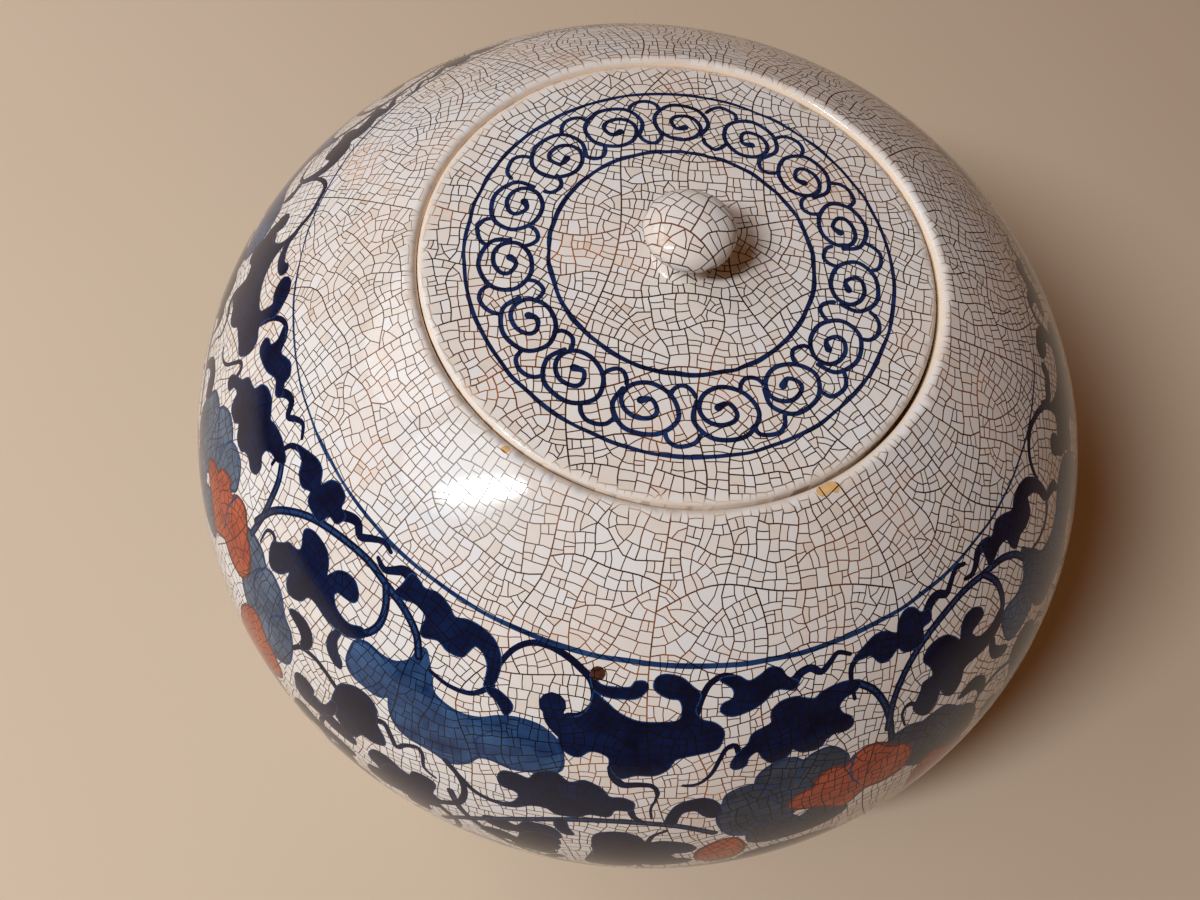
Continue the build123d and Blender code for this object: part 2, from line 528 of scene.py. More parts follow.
def crackle(outline, chart, cell, rng):
    """Cracks an outline again and again, each new crack running across the longest way and ending on an
    older one, until the cells are small. Returns (points, crack widths, surface area) for each cell."""
    stack = [(outline, [0.0] * len(outline))]
    cells = []
    while stack:
        points, widths = stack.pop()
        local = Local(chart, *middle_of(points))
        flat = [local.enter(p) for p in points]
        area, centre, angle, slender = polygon_facts(flat)
        limit = cell * cell * rng.lognormvariate(SIZE_SHIFT, SIZE_SPREAD) / max(1.0, slender / SLENDER)
        reach = LARGE_SWAY if area > LARGE_AREA else SMALL_SWAY
        sway = [rng.uniform(-reach, reach) / (n + 1) for n in range(3)]
        halves = None
        tries = 0
        while area > limit and halves is None and tries < BREAK_TRIES:
            slide = rng.uniform(-OFF_CENTRE, OFF_CENTRE) * math.sqrt(area)
            turn = rng.gauss(0, TURN_SPREAD + TURN_SPREAD * tries)
            anchor = (centre[0] + slide * math.cos(angle), centre[1] + slide * math.sin(angle))
            bending = 1.0 if tries < CURVED_TRIES else 0.0
            halves = break_cell(flat, widths, anchor, angle + math.pi / 2 + turn, sway, bending)
            tries += 1
        if halves is None:
            cells.append((points, widths, area))
            continue
        for part, part_widths in halves:
            stack.append(([local.leave(p) for p in part], part_widths))
    return cells


def meeting(p, u, q, v):
    """Where the line through p along u meets the line through q along v. For nearly parallel lines, q."""
    cross = u[0] * v[1] - u[1] * v[0]
    if abs(cross) < 0.3:
        return q
    t = ((q[0] - p[0]) * v[1] - (q[1] - p[1]) * v[0]) / cross
    return p[0] + u[0] * t, p[1] + u[1] * t


def shrink_cell(points, widths, chart):
    """Outline of the glaze inside a cell: each edge moved in by half its crack's width.
    An edge that would end up running backwards is left out."""
    shortest_edge = 0.02
    shortest_run = 0.01
    mean = middle_of(points)
    local = Local(chart, *mean)
    flat = [local.enter(p) for p in points]
    lines = []
    for a, b, width in zip(flat, flat[1:] + flat[:1], widths):
        length = math.dist(a, b)
        if length > shortest_edge:
            u = ((b[0] - a[0]) / length, (b[1] - a[1]) / length)
            # on the wall the cracks widen away from the key light: painted shade
            width *= chart.crack_scale(mean[0])
            lines.append(((a[0] - u[1] * width / 2, a[1] + u[0] * width / 2), u))
    inner = []
    backwards = -1.0
    while backwards < shortest_run and len(lines) > 2:
        inner = [meeting(*lines[i - 1], *lines[i]) for i in range(len(lines))]
        runs = []
        for a, b, (_, u) in zip(inner, inner[1:] + inner[:1], lines):
            runs.append((b[0] - a[0]) * u[0] + (b[1] - a[1]) * u[1])
        backwards = min(runs)
        if backwards < shortest_run:
            lines.pop(runs.index(backwards))
    if len(lines) < 3 or crosses_itself(inner):
        # a cell too narrow for that is drawn in towards its middle
        share = 1 - 1.1 * CRACK_YOUNG / math.sqrt(polygon_facts(flat)[0])
        mx, my = middle_of(flat)
        inner = [(mx + (x - mx) * share, my + (y - my) * share) for x, y in flat]
    return [local.leave(p) for p in inner]


def crosses_itself(points):
    """Whether two edges of a polygon that don't share a corner cross, or it has turned inside out."""
    count = len(points)
    if count < 3 or sum(turning(points[0], a, b) for a, b in zip(points, points[1:])) <= 0:
        return True
    for i in range(count):
        a, b = points[i], points[(i + 1) % count]
        for j in range(i + 2, count - (i == 0)):
            c, d = points[j], points[(j + 1) % count]
            if segments_cross(a, b, c, d):
                return True
    return False


def segments_cross(a, b, c, d):
    """Whether the segment from a to b crosses the one from c to d."""
    return turning(a, b, c) * turning(a, b, d) < 0 and turning(c, d, a) * turning(c, d, b) < 0


def turning(a, b, c):
    """Positive where a path from a through b to c turns left."""
    return (b[0] - a[0]) * (c[1] - b[1]) - (b[1] - a[1]) * (c[0] - b[0])


def wound(outline):
    """The outline started at its leftmost corner and turned to run counterclockwise."""
    first = min(range(len(outline)), key=lambda i: outline[i][0])
    outline = outline[first:] + outline[:first]
    if turning(outline[-1], outline[0], outline[1]) < 0:
        outline = outline[:1] + outline[:0:-1]
    return outline


def finished_cells(outline, chart, cell, rng):
    """Crackle cells ready to be cut: (outline, tone), where small cells take a stronger stain."""
    ready = []
    for points, widths, area in crackle(outline, chart, cell, rng):
        small = max(0.0, 1.0 - area / (SMALL_CELL * cell * cell))
        tone = min(1.0, max(0.0, rng.gauss(TONE, TONE_SPREAD) + SMALL_CELL_TONE * small))
        ready.append((wound(shrink_cell(points, widths, chart)), tone))
    return ready


# ---------------------------------------------------------------- brush work


def chart_x(bearing):
    """The wall chart's x at a bearing in degrees."""
    return math.radians(bearing) * MAP_RADIUS


def catmull(a, b, c, d, t):
    """Value at t between b and c on a smooth curve through four values."""
    square = (2 * a - 5 * b + 4 * c - d) * t * t
    cube = (3 * b - a - 3 * c + d) * t**3
    return 0.5 * (2 * b + (c - a) * t + square + cube)


def smooth(points, closed, step=0.9):
    """Smooth curve through points that may carry a width as a third value."""
    count = len(points)
    out = []
    for i in range(count if closed else count - 1):
        if closed:
            four = [points[(i + k - 1) % count] for k in range(4)]
        else:
            four = [points[max(0, min(count - 1, i + k - 1))] for k in range(4)]
        parts = max(2, math.ceil(math.dist(four[1][:2], four[2][:2]) / step))
        for k in range(parts):
            out.append(tuple(catmull(*values, k / parts) for values in zip(*four)))
    if not closed:
        out.append(points[-1])
    return out


class Brush:
    """Collects painted outlines on a chart. What is painted later lies on top."""

    def __init__(self, chart):
        self.chart = chart
        self.shapes = []

    def add(self, paint, outline):
        """Lays one polygon on top of what is painted so far."""
        self.shapes.append((paint, wound(outline)))

    def blot(self, paint, points, fringe=None, spread=0.3):
        """A filled shape with a smooth outline, over a slightly larger one where the paint has bled."""
        outline = wound(smooth(points, True))
        if fringe:
            bled = []
            for i, (x, y) in enumerate(outline):
                local = Local(self.chart, x, y)
                ahead = local.enter(outline[(i + 1) % len(outline)])
                back = local.enter(outline[i - 1])
                nx, ny = unit(ahead[1] - back[1], back[0] - ahead[0])
                bled.append(local.leave((nx * spread, ny * spread)))
            self.add(fringe, bled)
        self.add(paint, outline)

    def dot(self, paint, x, y, radius):
        """A round spot."""
        local = Local(self.chart, x, y)
        self.add(paint, [local.leave(p) for p in circle_line(radius, 10)])

    def stroke(self, paint, points, start_width, end_width):
        """A brush line with round ends whose width runs from one value to the other."""
        self.pressed_stroke(paint, with_widths(points, start_width, end_width))

    def pressed_stroke(self, paint, points, closed=False):
        """A brush line whose points carry their own widths."""
        line = smooth(points, closed)
        sides = []
        for i, (x, y, width) in enumerate(line):
            local = Local(self.chart, x, y)
            ahead = local.enter(line[min(len(line) - 1, i + 1)])
            back = local.enter(line[max(0, i - 1)])
            dx, dy = ahead[0] - back[0], ahead[1] - back[1]
            size = math.hypot(dx, dy) or 1.0
            nx, ny = -dy / size * width / 2, dx / size * width / 2
            sides.append((local.leave((nx, ny)), local.leave((-nx, -ny))))
        if closed:
            sides.append(sides[0])
        for (a, b), (c, d) in zip(sides, sides[1:]):
            if is_convex([a, b, d, c]):
                self.add(paint, [a, b, d, c])
            else:
                self.add(paint, [a, b, d])
                self.add(paint, [a, d, c])
        if not closed:
            for x, y, width in (line[0], line[-1]):
                self.dot(paint, x, y, width / 2)


def is_convex(points):
    """Whether a polygon turns the same way at every corner."""
    corners = zip(points, points[1:] + points[:1], points[2:] + points[:2])
    return len({turning(a, b, c) > 0 for a, b, c in corners}) == 1


def with_widths(points, start_width, end_width):
    """The points with a brush width added to each, running evenly from one value to the other."""
    last = max(1, len(points) - 1)
    widths = [start_width + (end_width - start_width) * i / last for i in range(len(points))]
    return [(p[0], p[1], w) for p, w in zip(points, widths)]


# Wall painting: the band's place and repeat, how far a hand strays, and the widths of lines
REPEAT_DEG = 88.0
BAND_TOP = 34.3
BAND_MIDDLE = 96.0
STRAY_MM = 0.25
STRAY_DEG = 0.12
RING_WAVER = 0.09
RING_PRESSURE = 0.08
CIRCLE_PRESSURE = 0.1
RING_WIDTH = 0.9
PETAL_LINE = 0.8
LEAF_LINE = 0.9
LINE_TIP = 0.5
STEM_WIDTH = 2.0
STEM_CORE = 0.7

# Shapes of the repeat in front, read off. Points are (bearing in degrees, distance down the wall in mm)
FLOWER_PETALS = [
    ("grey_wash", [(-65.6, 68), (-65.3, 64), (-63.5, 61.4), (-61.2, 61.2), (-59.9, 62.4), (-58.6, 61.2),
                   (-56.6, 61.2), (-54.9, 63.5), (-54.2, 67), (-56, 71), (-59, 75), (-63, 74)]),
    ("grey_wash", [(-69.4, 72), (-68.9, 69), (-67.2, 67), (-65, 67.4), (-62.4, 70), (-60.2, 75),
                   (-60.4, 80), (-62.4, 84), (-65, 86.4), (-67.4, 86), (-69, 82), (-69.6, 77)]),
    ("grey_wash", [(-65.6, 88), (-65.2, 83.4), (-63.4, 81.4), (-61, 81.8), (-59.9, 84), (-58.4, 81.6),
                   (-56, 82.6), (-54, 86), (-54.2, 90.5), (-57, 93.4), (-61.4, 94), (-64.6, 92.4)]),
    ("grey_wash", [(-49.2, 69), (-47.9, 66.6), (-45.6, 66.2), (-43.6, 68), (-42.4, 67.4), (-40, 68.4),
                   (-38, 73), (-36.2, 75.4), (-35, 80), (-35, 86), (-37, 90), (-40, 90.4), (-43, 87),
                   (-45.6, 82.4), (-47.4, 76)]),
    ("iron_red", [(-43.6, 86), (-41.4, 84.6), (-39.4, 88), (-37, 91), (-35.6, 96), (-37, 101), (-41, 103),
                  (-44, 100), (-44.8, 93)]),
    ("iron_red", [(-69.8, 90), (-67.6, 87.6), (-66, 91), (-65.6, 97), (-66.6, 102), (-69.6, 102.6),
                  (-71, 97)]),
    ("iron_red", [(-61.4, 78.6), (-60.4, 74.4), (-58.6, 73), (-58.3, 70.4), (-56.4, 68), (-54.4, 69.4),
                  (-53.4, 67), (-51.4, 65.6), (-49.4, 67.4), (-48.2, 69.6), (-46.4, 72), (-45.4, 77),
                  (-46.4, 81.6), (-49, 83), (-51.6, 82), (-54.2, 86), (-57, 82.4)]),
]
FLOWER_LINES = [
    [(-59.9, 62.4), (-60.6, 68), (-59.4, 72)],
    [(-65, 67.4), (-63.6, 73), (-60.9, 79)],
    [(-59.9, 84), (-59.6, 88), (-60.4, 93)],
    [(-43.6, 68), (-44.4, 74), (-43, 80), (-41.4, 84.6)],
    [(-38, 73), (-39.6, 79), (-38.6, 88)],
    [(-53.4, 67), (-53.7, 73), (-52.4, 79)],
]
BLUE_LEAF = [
    (-108.9, 50.5), (-109.2, 53.6), (-110.5, 56.6), (-112.4, 57.8), (-114.9, 57.6), (-116.2, 59.6),
    (-116.5, 63), (-116.2, 66.6), (-115, 68.6), (-112.8, 69), (-110.8, 68.4), (-109.8, 67), (-109.1, 69.4),
    (-108, 72.6), (-106, 74.6), (-103, 74.4), (-100.4, 75), (-98.6, 72.6), (-97.6, 69.2), (-96, 68.2),
    (-93.6, 68.6), (-91.2, 67.6), (-88.8, 65.6), (-88, 63.8), (-88.6, 60), (-89.7, 56.6), (-91.8, 54.6),
    (-94.4, 54.3), (-96.7, 56), (-98.8, 58.2), (-100.9, 59.3), (-103, 59.2), (-105, 57.8), (-106.1, 54.6),
    (-107.2, 51.6), (-108.2, 49.2),
]
BLUE_LEAF_LINES = [
    [(-109.8, 67), (-109.6, 63), (-111, 59.6)],
    [(-97.6, 69.2), (-98.4, 64), (-97, 60)],
]
DARK_SHAPES = [
    # three-lobed leaf with a curl, left of the blue leaf
    [(-130.2, 50.5), (-129.6, 48.6), (-127.8, 47.6), (-126, 48.2), (-124.7, 50.5), (-123.9, 52.4),
     (-123.2, 49.6), (-121.9, 47.9), (-120.3, 47.9), (-119.1, 49.8), (-119.2, 52), (-120.5, 52.8),
     (-121.6, 53.2), (-121.7, 54.8), (-120.6, 56.8), (-118.3, 57.2), (-116.4, 55.4), (-115.6, 57),
     (-117.4, 60.2), (-120.5, 61.4), (-123.4, 60.6), (-124.6, 61.4), (-125.1, 64.2), (-126.6, 66.2),
     (-127.9, 64.6), (-128.5, 61.6), (-129.4, 64.4), (-130.8, 66.3), (-132, 65), (-132.8, 61.4),
     (-132.2, 59.6), (-131.3, 57.6), (-131, 56.2), (-129.4, 55.6), (-129.2, 53.6)],
    # leaf chain under the ring, right of the fork
    [(-140.2, 40.6), (-138.6, 38.8), (-136.3, 37), (-134.4, 37.4), (-133.1, 39.4), (-132.3, 36.8),
     (-130.8, 35.2), (-129.2, 36), (-128.4, 38.4), (-127, 39), (-127.4, 41.4), (-129, 42.2), (-129.4, 45),
     (-131, 45.6), (-132.6, 44.8), (-133.4, 43), (-134.8, 44.4), (-136.4, 43.8), (-137.4, 41.4),
     (-138.8, 40.8)],
    # leaf chain under the ring, over the blue leaf
    [(-114.9, 39.6), (-114.6, 36.2), (-113.2, 36.6), (-112, 37.4), (-110.2, 36.2), (-108.1, 37),
     (-106.5, 38.9), (-105, 37.6), (-102.9, 37.4), (-100.8, 38.8), (-99.4, 41.2), (-98.7, 44.4),
     (-98.6, 48.6), (-99.6, 50), (-99.9, 47.8), (-100.3, 45), (-101.3, 42.8), (-102.6, 42.3), (-103.1, 44),
     (-103.6, 46), (-105.6, 46.4), (-107.3, 45.7), (-109.2, 47), (-109.9, 45), (-110, 42.2), (-111.9, 41.6),
     (-113.8, 42.6), (-115, 42.4)],
    # leaflet at the end of that chain
    [(-99.6, 50), (-97.8, 49.7), (-96.1, 50.9), (-95.7, 52.6), (-96.1, 55), (-96.8, 53.6), (-97.7, 52),
     (-98.9, 51.2)],
    # wide leaf
    [(-86.6, 40), (-86, 43), (-84.6, 44.9), (-83.1, 46.6), (-80.5, 48), (-77.4, 48), (-75.6, 47),
     (-75.3, 44.4), (-75.7, 42), (-76.9, 42), (-78.2, 41.2), (-79.2, 39.4), (-79.1, 37.6), (-77.8, 36.5),
     (-75.8, 36.9), (-74.2, 38.8), (-73.2, 41.2), (-73.6, 44.6), (-72.8, 46.9), (-71, 47.8), (-69.9, 50.6),
     (-70.2, 53.6), (-71, 55.4), (-72.8, 56.2), (-74.4, 56.6), (-75.6, 57.4), (-76.2, 60), (-77.6, 62),
     (-79.8, 62.6), (-81.4, 64), (-82.8, 61), (-83.2, 58.4), (-84.4, 57.4), (-85.6, 57.8), (-86.6, 59.6),
     (-88, 59.6), (-89, 57.4), (-89.5, 53.6), (-89, 50.6), (-87.4, 49), (-86.6, 45.6)],
    # tail above the wide leaf
    [(-87.4, 38.4), (-86, 40.6), (-84, 40.7), (-82.2, 40.1), (-81.6, 38.6), (-80.5, 38.6), (-80, 40),
     (-81, 42.2), (-83.4, 43.2), (-85.2, 42.9), (-86.8, 42)],
    # leaf chain under the ring, right of the wide leaf
    [(-70.6, 37.4), (-68.4, 37.2), (-66.7, 38.8), (-65.3, 37.6), (-63.8, 36.3), (-62.2, 36.9),
     (-61.6, 39), (-60.2, 40.8), (-61, 42.6), (-62.6, 41.6), (-63.8, 42.2), (-64.9, 44), (-66.8, 45.6),
     (-69, 46.4), (-70.4, 45), (-70.1, 43.2), (-68.8, 42.2), (-69, 39.8)],
    # leaf above the flower
    [(-64, 49.8), (-63.9, 47), (-62.7, 45.1), (-60.9, 44.5), (-59.3, 45.4), (-58.2, 46.2), (-56.8, 45),
     (-54.2, 44.5), (-51.6, 46), (-52.3, 48), (-54, 48.6), (-55, 50.6), (-54.6, 52.8), (-53.5, 54.2),
     (-53.3, 56.6), (-54.5, 58), (-56, 57.5), (-57.2, 58.2), (-57.7, 59.6), (-59.8, 60), (-61.2, 58),
     (-62, 60), (-63.8, 60.6), (-64.9, 59), (-65.6, 57), (-66.7, 58.4), (-67, 60.6), (-68.2, 61.2),
     (-68.8, 59.6), (-68, 57), (-66.8, 54.4), (-66.2, 51.8)],
    # small drops
    [(-125.8, 70), (-124.9, 68.2), (-123.2, 67.3), (-121.7, 69), (-120.9, 72), (-121.5, 75.4),
     (-122.3, 75.4), (-122.5, 73), (-123.4, 71.2)],
    [(-119.1, 61), (-119.6, 64.4), (-119.1, 67.6), (-117.7, 69.9), (-116.4, 70), (-116.6, 67.8),
     (-117.7, 66.2), (-118.4, 63.8), (-118.4, 61.2)],
    [(-87.3, 82), (-87.1, 85.4), (-86, 88), (-85, 87.6), (-85.9, 84.8), (-86.3, 82)],
    # leaf below the blue leaf
    [(-91.4, 70), (-90.6, 67.4), (-88.8, 65.8), (-86.9, 68), (-85.2, 66.6), (-83.2, 68), (-82.2, 70.4),
     (-80.6, 70), (-79.3, 71.6), (-79.6, 74.4), (-81.2, 74.8), (-81.8, 77.2), (-83.9, 77.6), (-85.2, 79.6),
     (-87.2, 80), (-88.8, 78.6), (-90.4, 79.2), (-92, 81.6), (-93.8, 83), (-92.4, 80), (-91.8, 77.4),
     (-92.6, 75.6), (-94, 75.4), (-94.8, 73), (-94.3, 70.6), (-92.9, 69.8)],
    # comma right of it
    [(-75.4, 79), (-75.2, 74.6), (-74.1, 71.4), (-71.9, 69.7), (-70, 71.2), (-69.3, 74.4), (-70, 76.8),
     (-71.3, 75.8), (-72.3, 74), (-73.5, 74.2), (-74.2, 76.6), (-74.4, 79)],
    # trefoil under the low arch
    [(-82.9, 87.4), (-81.9, 84.4), (-79.9, 83.5), (-77.9, 85), (-76.9, 88), (-75.2, 87), (-72.6, 88.4),
     (-71.2, 91.4), (-72.4, 94), (-74.4, 94.2), (-73.3, 98), (-74.3, 101.6), (-76.3, 102.6), (-77.9, 100.6),
     (-78.6, 98.6), (-79.9, 102.4), (-81.9, 101), (-82.4, 96.4)],
    [(-90.5, 94), (-89, 91), (-86.8, 91.6), (-86.2, 95), (-87.2, 98.6), (-86.2, 102), (-87.6, 105.6),
     (-90.4, 105), (-91.4, 101.6), (-93.2, 102.6), (-95, 100.6), (-94.4, 97.6), (-92.4, 96.8), (-90.8, 98)],
    # upright leaf on the left
    [(-116, 78), (-115.6, 74), (-113.8, 71.2), (-111.7, 71), (-110.3, 73.4), (-109.8, 77.4), (-108.4, 80),
     (-108.2, 83.2), (-109.4, 85.2), (-111, 85.6), (-111.8, 88.8), (-113, 90), (-114.4, 88),
     (-115.8, 84.4)],
    # curl beside it
    [(-121.5, 88), (-121.4, 85.4), (-120.1, 84), (-118.7, 85.4), (-118.5, 88), (-117.6, 88.4),
     (-116.5, 86.6), (-115.9, 82.4), (-115, 84), (-115.4, 88.6), (-117.2, 92.6), (-119.3, 93),
     (-120.9, 91.2)],
    # leaf with five points
    [(-109.5, 99), (-107.9, 96), (-107.6, 92), (-106, 89.6), (-104.3, 89.4), (-103.9, 86.6),
     (-102.6, 85.5), (-101.2, 87), (-101.3, 91.8), (-99.6, 94), (-100.7, 96.6), (-102.1, 97.2),
     (-101.6, 101), (-102.9, 104), (-105, 103), (-107.1, 104.4), (-109, 103.6)],
    [(-121.2, 100), (-119.6, 97.6), (-117.4, 98.6), (-114.9, 98), (-111.8, 98.6), (-111.9, 101.6),
     (-115.2, 103), (-118, 104.8), (-120.7, 103)],
]
STEMS = [
    [(-136.6, 63), (-135.6, 56), (-133.4, 50.6), (-130.2, 46.2), (-126, 43), (-121, 41.6), (-116.6, 42.6),
     (-112.8, 44.4), (-110, 47.8), (-108.6, 52)],
    [(-116.6, 42.6), (-115.1, 47), (-114.8, 51.6), (-115.7, 55.8), (-117.6, 58.8)],
    [(-99.4, 106), (-97.7, 99.4), (-95.6, 94), (-92.5, 88.6), (-88.8, 84), (-85, 80.8), (-80.5, 78.8),
     (-75.8, 79), (-72.6, 80.6), (-69.6, 84)],
    [(-52, 46.4), (-50.2, 49.6), (-49, 54.4), (-48.4, 60), (-48.2, 67)],
]
# Tendrils are (points, width at the start, width at the end)
TENDRILS = [
    ([(-128.2, 40), (-126.4, 37.8), (-125, 37), (-123.6, 38.8), (-122.2, 37), (-120.4, 35.2),
      (-118.8, 36)], 2.8, 1.1),
    ([(-134.3, 65.3), (-134.5, 61.5), (-134, 59.6), (-133.2, 59.6), (-132.2, 61.4)], 0.7, 1.4),
    ([(-140.7, 50), (-141, 45), (-140.4, 41.6), (-138.4, 39.4)], 1.0, 1.7),
    ([(-119.8, 39.3), (-118.2, 40), (-116.8, 38.8), (-115.6, 37.2), (-114.2, 37.4)], 1.1, 3.0),
    ([(-98.9, 49), (-100, 52), (-101.6, 53.8), (-103.9, 54.2), (-106.5, 53.2)], 1.5, 1.0),
    ([(-98.9, 49), (-98.8, 43.4), (-97.9, 39), (-96.1, 36), (-93.5, 35.2), (-90.9, 36), (-88.8, 38),
      (-87.2, 40.4), (-86.3, 44), (-86.5, 47), (-87.4, 49), (-89, 50)], 1.2, 2.2),
    ([(-82.4, 61), (-82.2, 64), (-81, 65.8), (-79.3, 65.2), (-77.8, 65.8), (-77, 67.6),
      (-77.1, 70)], 2.6, 0.7),
    ([(-77.1, 70), (-77.3, 73), (-77.1, 77)], 0.7, 0.7),
    ([(-73.4, 46), (-73, 41.8), (-71.9, 38.4), (-70.2, 36.8), (-68.2, 37.4)], 1.6, 1.4),
    ([(-60.8, 41.6), (-59.9, 39.2), (-58.3, 38.4), (-56.8, 40.4), (-55.4, 38.6), (-54.1, 37.2),
      (-52.4, 38.8)], 2.4, 1.0),
    ([(-74.2, 65), (-72.6, 64.8), (-71.1, 62), (-70.3, 58), (-69.5, 54.8), (-68.4, 54.4),
      (-67.9, 57)], 0.8, 1.5),
    ([(-123, 78.6), (-122.1, 75.6), (-120.1, 74.3), (-118, 74.9), (-115.7, 77)], 1.4, 1.6),
    ([(-100.9, 75.4), (-98.7, 79), (-96.6, 81.6), (-94, 82.6), (-91.9, 80.6), (-91.2, 77)], 1.4, 1.5),
    ([(-100.9, 75.4), (-98.7, 79), (-97.7, 84), (-98.1, 90), (-100.4, 95)], 1.4, 2.2),
    ([(-79.6, 74), (-79.1, 77), (-77.8, 78.6)], 1.8, 1.2),
    ([(-76.9, 88), (-76.4, 84.2), (-75.2, 81.6)], 1.5, 1.0),
    ([(-115.6, 86), (-116.3, 91), (-116.7, 97)], 2.0, 1.6),
    ([(-110, 76.6), (-108.9, 75.6), (-107.8, 78), (-106.8, 80.4), (-105.8, 78), (-104.5, 76.2),
      (-103.6, 77.8), (-102.9, 82), (-101.3, 83.8)], 1.8, 0.9),
]
# A comma left of the wide leaf: a blob of this radius with a tail
COMMA_HEAD = (-91.0, 48.4)
COMMA_RADIUS = 3.1
COMMA_TAIL = [(-91, 48.6), (-90.3, 51.6), (-88.6, 54)]
COMMA_WIDTHS = (4.4, 5.0)

# A drop of iron in the glaze above the wide leaf
IRON_SPOT = (-86.6, 38.2)
IRON_SPOT_RADIUS = 1.7

# Ochre glaze runs at the lip, in front only
LIP_CHIPS = [
    [(-50.2, 1.6), (-49.4, 3.2), (-47.4, 3.0), (-46.2, 3.9), (-45.2, 2.4), (-46.4, 0.6), (-48.6, 0.4)],
    [(-114.4, 1.4), (-114.8, 2.6), (-113.6, 3.0), (-113.0, 1.8), (-113.7, 1.1)],
]


def paint_repeat(brush, shift_deg, mirrored, rng):
    """One repeat of the scrolling band. Mirrored, it fills the lower half of the band upside down."""

    def spot(p):
        """Where the hand puts a point down on the chart."""
        y = p[1] + rng.uniform(-STRAY_MM, STRAY_MM)
        if mirrored:
            y = 2 * BAND_MIDDLE - y
        return chart_x(p[0] + rng.uniform(-STRAY_DEG, STRAY_DEG) + shift_deg), y

    def place(points):
        """A whole shape or line, put down point by point."""
        return [spot(p) for p in points]

    for paint, petal in FLOWER_PETALS:
        # the flowers of the front repeat take a darker copy of the grey wash: painted shade, as they lie on
        # the wall's shaded side
        if paint == "grey_wash" and shift_deg == 0:
            paint = "slate_wash"
        outline = place(petal)
        brush.blot(paint, outline)
        rim = "red_line" if paint == "iron_red" else "cobalt_line"
        brush.pressed_stroke(rim, [(x, y, PETAL_LINE) for x, y in outline], closed=True)
    for line in FLOWER_LINES:
        brush.stroke("cobalt_line", place(line), PETAL_LINE, LINE_TIP)
    leaf = place(BLUE_LEAF)
    brush.blot("cobalt_wash", leaf)
    brush.pressed_stroke("cobalt_line", [(x, y, LEAF_LINE) for x, y in leaf], closed=True)
    for line in BLUE_LEAF_LINES:
        brush.stroke("cobalt_line", place(line), LEAF_LINE, LINE_TIP)
    for stem in STEMS:
        line = place(stem)
        brush.stroke("cobalt_dark", line, STEM_WIDTH, STEM_WIDTH)
        brush.stroke("cobalt_line", line, STEM_CORE, STEM_CORE)
    for points, start_width, end_width in TENDRILS:
        brush.stroke("cobalt_dark", place(points), start_width, end_width)
    for points in DARK_SHAPES:
        brush.blot("cobalt_dark", place(points), "cobalt_line")
    brush.stroke("cobalt_dark", place(COMMA_TAIL), *COMMA_WIDTHS)
    brush.dot("cobalt_dark", *spot(COMMA_HEAD), COMMA_RADIUS)


def ring_line(brush, paint, y, width, rng):
    """A hand-drawn ring round the wall, wavering a little in place and width. It starts and ends one step
    beyond the full turn, so that its round ends lie under it."""
    count = 90
    swell_phase = 2.6
    points = []
    for i in range(count + 3):
        bearing = math.radians(FIRST_BEARING + 360 * (i - 1) / count)
        swell = 1 + 0.4 * math.cos(2 * bearing + swell_phase)
        place = y + rng.gauss(0, RING_WAVER)
        points.append((bearing * MAP_RADIUS, place, width * swell + rng.gauss(0, RING_PRESSURE)))
    brush.pressed_stroke(paint, points)


def paint_wall(chart):
    """All painted shapes of the wall, each also one turn farther round."""
    rng = random.Random(SEED + 1)
    brush = Brush(chart)
    for mirrored in (True, False):
        for shift in (-REPEAT_DEG, 0.0, REPEAT_DEG, 180.0):
            paint_repeat(brush, shift, mirrored, rng)
    for y in (BAND_TOP, 2 * BAND_MIDDLE - BAND_TOP):
        ring_line(brush, "cobalt_line", y, RING_WIDTH, rng)
    brush.dot("iron_spot", chart_x(IRON_SPOT[0]), IRON_SPOT[1], IRON_SPOT_RADIUS)
    for chip in LIP_CHIPS:
        brush.blot("ochre_glaze", [(chart_x(bearing), y) for bearing, y in chip])
    shapes = []
    for paint, outline in brush.shapes:
        shapes.append((paint, outline))
        shapes.append((paint, [(x + FULL_TURN * MAP_RADIUS, y) for x, y in outline]))
    return shapes


# Lid painting: two circles and a ring of linked scrolls between them
INNER_CIRCLE = 31.0
OUTER_CIRCLE = 50.3
INNER_CIRCLE_WIDTH = 1.15
OUTER_CIRCLE_WIDTH = 0.95
SCROLL_COUNT = 15
SCROLL_RING = 40.6
FIRST_SCROLL_DEG = 7.2
SCROLL_STRETCH = 1.14
SCROLL_WIDTH = 1.15
SCROLL_START_WIDTH = 1.9
LINK_WIDTH = 1.1

# One scroll as (degrees turned, distance from its middle), and the links to the next one as
# (share of the way to the next scroll, radius)
SCROLL = [(0, 1.8), (60, 2.4), (130, 2.3), (180, 2.4), (240, 2.8), (285, 3.8), (320, 4.9), (357, 5.7),
          (400, 6.0), (450, 6.2), (500, 6.3), (550, 6.2), (600, 6.1), (650, 6.1), (695, 6.0)]
OUTER_LINK = [(0.29, 45.0), (0.33, 46.8), (0.43, 47.9), (0.55, 47.8), (0.65, 46.7), (0.70, 45.2)]
INNER_LINK = [(0.31, 36.6), (0.35, 35.0), (0.45, 33.9), (0.56, 34.0), (0.65, 35.1), (0.68, 36.4)]


def polar(bearing, radius, width):
    """A brush point on the lid's chart, from its bearing in degrees and its distance from the middle."""
    angle = math.radians(bearing)
    return radius * math.cos(angle), radius * math.sin(angle), width


